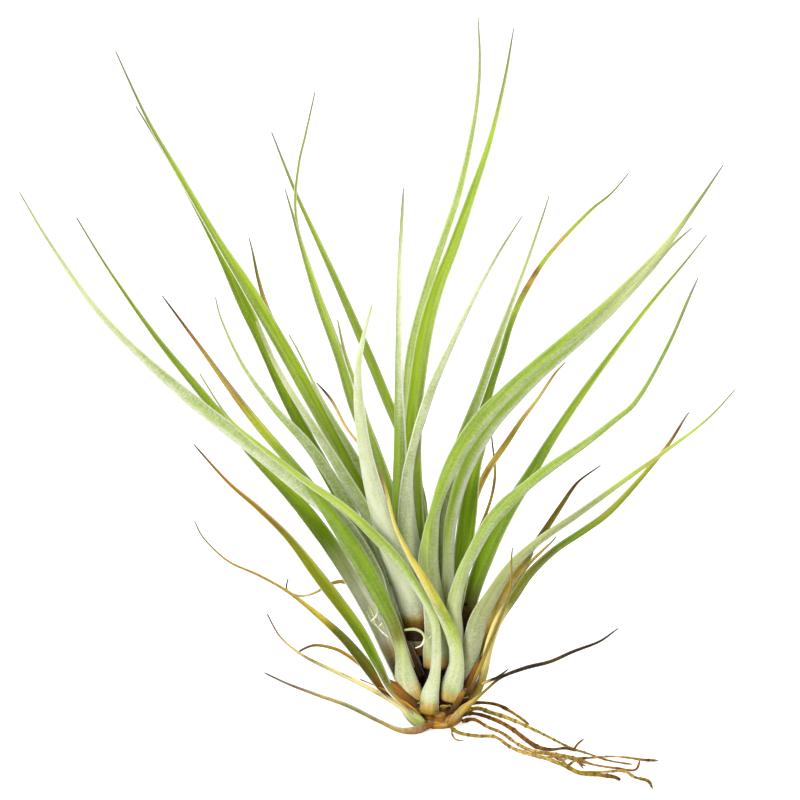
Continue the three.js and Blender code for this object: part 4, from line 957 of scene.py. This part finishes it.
# Every root strand as it is drawn: (across, up, width, height of its middle above the surface).
roots = {
    "root_1": {"tint": [(0, "brown"), (0.5, "rust"), (1, "ochre")], "strands": [[
        (9, 4.6, 1.1, 4), (13.5, 5.8, 1.1, 3), (20, 5, 1.1, 2), (26, 1.7, 1, 1.3), (30.5, -1.6, 0.9, 0.8)]]},
    "root_2": {"tint": [(0, "ochre"), (0.3, "straw"), (0.7, "ochre"), (1, "rust")], "strands": [[
        (8, 2.6, 1.3, 3.4), (13, 3.9, 1.4, 2.4), (18, 2.4, 1.3, 1.6), (24, 0.4, 1.2, 1), (31.5, -3, 1, 0.8),
        (38, -6.2, 0.8, 0.6), (44, -9.2, 0.8, 0.6), (50, -11.2, 0.7, 0.6), (57, -13.5, 0.6, 0.5),
        (65, -14.8, 0.6, 0.5)]]},
    "root_3": {"tint": [(0, "brown"), (0.4, "rust"), (1, "brown")], "strands": [[
        (7.6, 1.6, 1.2, 2.2), (12, 2.2, 1.2, 1.6), (18, 0.5, 1.2, 1.1), (24, -2.5, 1.3, 0.8),
        (29, -6.3, 1.4, 0.8), (33, -8.9, 1.5, 0.8), (37.5, -9.8, 1.1, 0.7), (42, -9.4, 0.8, 0.6),
        (46.3, -10.3, 0.8, 0.6)],
        [(45.2, -10, 0.8, 0.6), (46.5, -8, 0.7, 1.6), (48.8, -6.1, 0.7, 3)]]},
    "root_4": {"tint": [(0, "rust"), (0.4, "tan"), (1, "rust")], "strands": [[
        (8.2, -0.4, 1.2, 1.6), (12, 0.2, 1.1, 1), (16.5, -2.3, 1, 0.8), (21.5, -4.4, 1, 0.7),
        (26.5, -8, 1, 0.7), (31.5, -10.3, 1.1, 0.7), (36, -11, 1.2, 0.8), (41, -11.8, 1.3, 0.8),
        (46.5, -13.1, 1.3, 0.8),
        (52, -14.9, 0.8, 0.6), (60, -16.1, 0.7, 0.6), (65.6, -16.6, 0.7, 0.6), (67.3, -13.4, 0.7, 0.6)],
        [(45.5, -12.9, 1, 0.7), (50, -12.6, 0.7, 0.6), (57, -12.1, 0.6, 0.5), (62.5, -12.4, 0.7, 0.5),
         (68, -13.2, 0.9, 0.6), (73.6, -13.5, 0.8, 0.5)],
        [(37.5, -11.2, 0.7, 0.9), (41, -13.4, 0.8, 1), (44.5, -12.2, 0.7, 1.2), (47.3, -14.4, 0.7, 0.9),
         (49.3, -15.4, 0.5, 0.7)]]},
    "root_5": {"tint": [(0, "ochre"), (0.4, "tan"), (0.8, "ochre"), (1, "brown")], "strands": [[
        (4.4, -2.6, 1.2, 1.4), (7.5, -4.4, 1.1, 0.9), (13.5, -5.3, 1.1, 0.7), (19, -5.6, 1.1, 0.7),
        (24.5, -9.2, 1.1, 0.7), (30, -11.2, 1.2, 0.7), (36, -12.8, 1.2, 0.8), (42, -15.1, 1.3, 0.8),
        (47, -17.5, 1.4, 0.8), (53, -18.2, 1.3, 0.8), (58.5, -18.9, 1.2, 0.7), (60.8, -20, 1, 0.6)],
        [(48, -17.5, 1, 0.7), (56, -17.2, 0.8, 0.6), (62, -17, 0.8, 0.6), (65.5, -19, 0.9, 0.6),
         (70, -20.3, 1, 0.6), (71.5, -23, 0.7, 0.5)],
        [(35.5, -12.6, 0.7, 0.9), (40, -12.2, 0.8, 1.3), (43, -15, 0.8, 1.1), (46, -13.6, 0.7, 1.3),
         (48.6, -16.4, 0.6, 0.8)],
        [(4.6, -2.8, 0.6, 1.2), (4.7, -4.8, 0.5, 0.8), (6, -6.5, 0.5, 0.6), (8.8, -6.9, 0.5, 0.6)]]},
}
rootLook = {"step": 0.6, "sides": 10, "lumps": 0.22, "grain": 0.14, "flat": 0.8, "taper": (0.1, 0.5, 0.8),
            "knots": 0.3, "knotEvery": 5.5, "knotDark": 0.45, "knotSharp": 12, "wander": 2,
            "wanderRate": 0.05, "lumpRate": 0.25, "grainRate": 0.6, "lowest": 0.03}


def rootMesh(name, root):
    points, faces = [], []
    looks = {"tint": [], "place": []}
    rng = random.Random(name)
    sides = rootLook["sides"]
    for line in root["strands"]:
        stations, _ = drawnStations({"line": line, "shows": "inner", "turn": 0}, rootLook["step"])
        start, travelled, seed = len(points), 0, rng.uniform(0, 50)
        for index, s in enumerate(stations):
            if index:
                travelled += (s["middle"] - stations[index - 1]["middle"]).length / mm
            toEnd = len(stations) - 1 - index
            taper = rootLook["taper"][toEnd] if toEnd < len(rootLook["taper"]) else 1
            wander = noise.noise(Vector((travelled * rootLook["wanderRate"], seed, 3))) * rootLook["wander"]
            wave = math.cos((travelled / rootLook["knotEvery"] + wander) * 2 * math.pi)
            knot = max(0, wave) ** rootLook["knotSharp"]
            lump = noise.noise(Vector((travelled * rootLook["lumpRate"], seed, 0)))
            girth = s["width"] / 2 * (1 + rootLook["lumps"] * lump + rootLook["knots"] * knot) * taper
            tint = colourAt(root["tint"], s["share"]) * (1 - rootLook["knotDark"] * knot)
            for k in range(sides):
                angle = 2 * math.pi * k / sides
                drift = travelled * rootLook["grainRate"] + seed
                grain = noise.noise(Vector((math.cos(angle), math.sin(angle), drift)))
                r = girth * (1 + rootLook["grain"] * grain)
                rise = s["inner"] * r * math.sin(angle) * rootLook["flat"]
                point = s["middle"] + s["edge"] * r * math.cos(angle) + rise
                point.z = max(point.z, rootLook["lowest"] * mm)
                points.append(point)
                looks["tint"].append((*tint, 1))
                looks["place"].append((angle * s["width"] / mm / 2, travelled, seed))
        for i in range(len(stations) - 1):
            for k in range(sides):
                a, b = start + i * sides + k, start + i * sides + (k + 1) % sides
                faces.append((b, a, a + sides, b + sides))
        faces.append(tuple(range(start, start + sides)))
        end = start + (len(stations) - 1) * sides
        faces.append(tuple(reversed(range(end, end + sides))))
    return meshOf(name, points, faces, looks)


for name, root in roots.items():
    addPiece(name + "_strands", rootMesh(name, root), "root", name)
print("roots:", len(roots))

# The stem under the leaves: its profile is (height, radius).
stem = {"profile": [(0, 7.3), (1.2, 8.2), (3.2, 8.3), (7, 7.3), (12, 5.8), (18, 4.5), (25, 3.3), (31, 1.7),
                    (33, 0.2)],
        "rings": 44, "sides": 56, "lumps": 0.09, "lumpsAround": 3, "lumpsUp": 0.45,
        "tint": [(0, "orange"), (0.12, "orange"), (0.25, "rust"), (0.45, "umber"), (1, "umber")]}


def stemMesh():
    points, faces = [], []
    looks = {"tint": [], "place": []}
    sides = stem["sides"]
    for i in range(stem["rings"] + 1):
        share = i / stem["rings"]
        height = max(0, smooth([p[0] for p in stem["profile"]], share))
        radius = smooth([p[1] for p in stem["profile"]], share)
        for k in range(sides):
            angle = 2 * math.pi * k / sides
            turned = Vector((math.cos(angle), math.sin(angle), 0)) * stem["lumpsAround"]
            lump = noise.noise(turned + Vector((0, 0, height * stem["lumpsUp"])))
            r = radius * (1 + stem["lumps"] * lump)
            points.append(Vector((r * math.cos(angle), r * math.sin(angle), height)) * mm)
            looks["tint"].append((*colourAt(stem["tint"], share), 1))
            looks["place"].append((r * math.cos(angle), r * math.sin(angle), height))
    for i in range(stem["rings"]):
        for k in range(sides):
            a, b = i * sides + k, i * sides + (k + 1) % sides
            faces.append((a, b, b + sides, a + sides))
    faces.append(tuple(reversed(range(sides))))
    faces.append(tuple(range(stem["rings"] * sides, (stem["rings"] + 1) * sides)))
    return meshOf("stem", points, faces, looks)


addPiece("stem_body", stemMesh(), "stem_bark", "stem")


# Short dead leaf bases that clasp the stem's foot. reach is where they start, out from its middle, turn
# the angle from one to the next, and sag how far a spread one drops.
stemScales = {"count": 18, "steps": 12, "reach": 6.2, "turn": 2.4, "height": (1.2, 7), "length": (5, 11),
              "width": (3.2, 5), "lean": (0.2, 0.9), "swing": 0.35, "sag": 0.45, "jitter": 0.3,
              "skins": ["rag", "dry", "umber", "orange"]}


def stemScale(rng, angle, height):
    out = Vector((math.cos(angle), math.sin(angle), 0))
    around = Vector((-math.sin(angle), math.cos(angle), 0))
    length = rng.uniform(*stemScales["length"])
    width = rng.uniform(*stemScales["width"])
    lean = rng.uniform(*stemScales["lean"])
    swing = rng.uniform(-stemScales["swing"], stemScales["swing"])
    stations = []
    last = stemScales["steps"] - 1
    for i in range(stemScales["steps"]):
        share = i / last
        reach = stemScales["reach"] + lean * length * share ** 1.4
        rise = height + length * (share - stemScales["sag"] * lean * share ** 2)
        middle = (out * reach + around * swing * length * share ** 2 + Vector((0, 0, rise))) * mm
        stations.append({"middle": middle, "share": share})
    for i, s in enumerate(stations):
        ahead = stations[min(i + 1, last)]["middle"] - stations[max(i - 1, 0)]["middle"]
        s["along"] = ahead.normalized()
        s["edge"] = around
        s["inner"] = s["edge"].cross(s["along"]).normalized()
        if s["inner"].dot(out) > 0:
            s["inner"].negate()
        s["edge"] = s["along"].cross(s["inner"]).normalized()
        s["width"] = width * (1 - s["share"] ** 2.2) ** 0.8 * mm + blade["tipWidth"] * mm
        s["aside"] = Vector((0, 0, 0))
    return stations


def addStemScales():
    rng = random.Random("stem scales")
    for i in range(stemScales["count"]):
        angle = i * stemScales["turn"] + rng.uniform(-stemScales["jitter"], stemScales["jitter"])
        height = rng.uniform(*stemScales["height"])
        skin = rng.choice(stemScales["skins"])
        look = {"skin": skin, "slot": "leaf_dry", "shows": "outer", "frost": (0, 0.15), "cup": 0.7,
                "tip": "dark"}
        name = f"stem_scale_{i + 1}"
        addPiece(name, bladeMesh(name, look, stemScale(rng, angle, height), 1), "leaf_dry")


addStemScales()
print("stem done")

# Loose shreds, fibres and rags of dead skin, drawn like the leaves. What shredLook gives isn't repeated.
shredLook = {"slot": "leaf_dry", "shows": "outer", "turn": 15, "bend": 1, "bare": 0, "frost": (0, 0),
             "tip": "dark"}
shredStep = 0.5
shreds = {
    "shred_curl": {
        "slot": "leaf_silver", "skin": "wisp", "forward": (8.5, 10.5), "frost": (0.15, 0.4), "tip": "green",
        "line": [(-11.3, 30, 0.6), (-8, 30.3, 0.8), (-5.6, 29.3, 0.7), (-4.6, 27.4, 0.6), (-5.5, 25, 0.5),
                 (-7.6, 24, 0.3)]},
    "shred_strand": {
        "slot": "leaf_silver", "skin": "wisp", "forward": (9.5, 9), "frost": (0.5, 0.7), "tip": "green",
        "line": [(-4.6, 27.2, 0.5), (-3.4, 26.9, 0.4), (-2.4, 28, 0.3)]},
    "shred_fibre_1": {
        "slot": "leaf_silver", "skin": "wisp", "forward": (5.5, 6.5), "frost": (0.3, 0.5), "tip": "green",
        "line": [(-23, 38, 0.4), (-21.5, 35, 0.6), (-21, 32.5, 0.5), (-18.7, 29.5, 0.5), (-16.5, 27.6, 0.3)]},
    "shred_fibre_2": {
        "slot": "leaf_silver", "skin": "wisp", "forward": (5.5, 6.3), "frost": (0.3, 0.5), "tip": "green",
        "line": [(-22.4, 40, 0.4), (-20.2, 37.2, 0.5), (-20.6, 34.8, 0.5), (-22.4, 33, 0.3)]},
    "shred_fibre_3": {
        "slot": "leaf_silver", "skin": "wisp", "forward": (5.8, 5.6), "frost": (0.3, 0.5), "tip": "green",
        "line": [(-23.5, 36.3, 0.4), (-22.3, 33.2, 0.6), (-20, 31.3, 0.5), (-18.6, 32.4, 0.3)]},
    "rag_left": {
        "skin": "rag", "forward": (5.6, 9), "frost": (0, 0.1),
        "line": [(-7.6, 1.6, 0.8), (-6.4, -0.2, 2.2), (-4.2, -1.3, 2.6), (-1.4, -0.8, 0.8)]},
    "rag_middle": {
        "skin": "rag", "forward": (9, 6.8), "frost": (0, 0.1),
        "line": [(-2.4, -1.2, 0.6), (0.4, -0.8, 2.1), (3.2, 0.2, 2.3), (6, 2, 0.9)]},
    "rag_front": {
        "skin": "rag", "forward": (9.4, 8.4), "frost": (0, 0.1),
        "line": [(-1.8, -2.1, 0.4), (0.8, -1.7, 1.5), (3, -1.4, 1.7), (4.9, -0.6, 0.5)]},
    "rag_right": {
        "skin": "rag", "forward": (9.3, 9.6), "frost": (0.1, 0.4),
        "line": [(3.4, -2, 0.6), (4.8, 0, 2), (7, 2.6, 2.1), (9.8, 5, 0.5)]},
    "rag_high": {
        "skin": "decayed", "forward": (6.6, 7.2),
        "line": [(7.4, 3, 2.4), (9, 8, 3.6), (11, 13, 3.2), (13.3, 18.5, 1.6), (14.6, 21.5, 0.4)]},
    "rag_stub": {
        "skin": "scorched", "forward": (7.8, 7.8),
        "line": [(-16.4, 13.2, 0.8), (-13.8, 10.8, 3), (-11, 8.4, 3.8), (-8, 6, 3), (-6.2, 4.4, 1)]},
    "rag_corner": {
        "skin": "decayed", "forward": (9.6, 9.6),
        "line": [(4.2, 2.2, 0.8), (6.6, 6.3, 2), (9.3, 10.5, 0.5)]},
    "wire_left": {
        "skin": "rag", "forward": (9.3, 5),
        "line": [(-6, 1.9, 0.5), (-10, 5.2, 0.6), (-16, 9.2, 0.5), (-26, 13.6, 0.35)]},
    "wire_right": {
        "skin": "umber", "forward": (12, 12.6),
        "line": [(14.6, 12, 0.8), (17, 13.1, 0.9), (20, 14.4, 0.8), (23.4, 17, 0.3)]},
    "scar": {
        "skin": "charred", "forward": (0.7, 0.7), "tip": "green",
        "line": [(8.7, 38.4, 0.6), (9.2, 38.6, 1), (9.7, 38.7, 0.6)]},
}
for name, shred in shreds.items():
    shred = shredLook | shred
    addPiece(name, bladeMesh(name, shred, *drawnStations(shred, shredStep)), shred["slot"])
print("shreds:", len(shreds))

# How hidden each point is, from 0 in the open to 1 deep between the sheaths: baked occlusion, which paints
# shade into the colour.
occlusionProbe = {"reach": 16, "directions": 44, "lift": 0.15, "grazing": 0.2}


def bakeOcclusion():
    points, faces = [], []
    for piece in pieces:
        start = len(points)
        points += [v.co.copy() for v in piece.data.vertices]
        faces += [[start + i for i in face.vertices] for face in piece.data.polygons]
    tree = BVHTree.FromPolygons(points, faces)
    turn = math.pi * (3 - math.sqrt(5))  # the golden angle spreads the directions evenly
    count = occlusionProbe["directions"]
    ways = []
    for i in range(count):
        z = 1 - (2 * i + 1) / count
        flat = math.sqrt(1 - z * z)
        ways.append(Vector((flat * math.cos(turn * i), flat * math.sin(turn * i), z)))
    reach = occlusionProbe["reach"] * mm
    for piece in pieces:
        kept = 1 - leaves.get(piece.name.removesuffix("_blade"), {}).get("open", 0)
        hidden = []
        for vertex in piece.data.vertices:
            normal = vertex.normal
            start = vertex.co + normal * occlusionProbe["lift"] * mm
            clear, total = 0, 0
            for way in ways:
                facing = way.dot(normal)
                if facing < occlusionProbe["grazing"]:
                    continue
                total += facing
                distance = tree.ray_cast(start, way, reach)[3]
                clear += facing * (1 if distance is None else distance / reach)
            hidden.append((1 - clear / total) * kept)
        piece.data.attributes.new("occlusion", "FLOAT", "POINT").data.foreach_set("value", hidden)


bakeOcclusion()
print("hollows marked")

# The pale floor and the soft lights. Places are in metres.
studio = {"floor": 0.9, "floorHalf": 6, "floorRoughness": 0.9, "glow": 0.6, "world": 0.7, "aim": (0, 0, 0.1)}
lights = {
    "key": {"power": 26.5, "size": 0.8, "where": (-1.1, -1.3, 0.95)},
    "fill": {"power": 5, "size": 1.2, "where": (1.1, -1.1, 0.6)},
    "back": {"power": 4, "size": 0.9, "where": (0.3, 0.9, 0.9)},
}


def addFloor():
    half = studio["floorHalf"]
    points = [(-half, -half, 0), (half, -half, 0), (half, half, 0), (-half, half, 0)]
    mesh = bpy.data.meshes.new("floor")
    mesh.from_pydata(points, [], [(0, 1, 2, 3)])
    material = bpy.data.materials.new("floor")
    material.use_nodes = True
    shader = material.node_tree.nodes["Principled BSDF"]
    shader.inputs["Base Color"].default_value = (*[studio["floor"]] * 3, 1)
    shader.inputs["Roughness"].default_value = studio["floorRoughness"]
    shader.inputs["Emission Color"].default_value = (1, 1, 1, 1)
    # The glow only whitens what the camera sees of the floor.
    seen = material.node_tree.nodes.new("ShaderNodeLightPath").outputs["Is Camera Ray"]
    glow = mathNode(material.node_tree, "MULTIPLY", seen, studio["glow"])
    material.node_tree.links.new(glow, shader.inputs["Emission Strength"])
    mesh.materials.append(material)
    floor = bpy.data.objects.new("floor", mesh)
    bpy.context.collection.objects.link(floor)


def addLight(name, light):
    data = bpy.data.lights.new(name, "AREA")
    data.size = light["size"]
    data.energy = light["power"]
    lamp = bpy.data.objects.new(name, data)
    bpy.context.collection.objects.link(lamp)
    lamp.location = light["where"]
    aim = Vector(studio["aim"]) - Vector(light["where"])
    lamp.rotation_euler = aim.to_track_quat("-Z", "Y").to_euler()


def addCamera():
    sinT, cosT = math.sin(view["tilt"]), math.cos(view["tilt"])
    centre = Vector((view["across"], view["up"] * sinT, view["up"] * cosT)) * mm
    back = Vector((0, -cosT, sinT)) * view["distance"] * mm
    data = bpy.data.cameras.new("camera")
    data.sensor_width = 36
    data.lens = data.sensor_width * view["distance"] / view["width"]
    camera = bpy.data.objects.new("camera", data)
    bpy.context.collection.objects.link(camera)
    camera.location = centre + back
    camera.rotation_euler = (-back).to_track_quat("-Z", "Y").to_euler()
    bpy.context.scene.camera = camera


addFloor()
for name, light in lights.items():
    addLight(name, light)
addCamera()
world = bpy.data.worlds.new("studio")
bpy.context.scene.world = world
world.use_nodes = True
world.node_tree.nodes["Background"].inputs["Color"].default_value = (1, 1, 1, 1)
world.node_tree.nodes["Background"].inputs["Strength"].default_value = studio["world"]
bpy.context.scene.view_settings.view_transform = "Standard"
print("stage set")
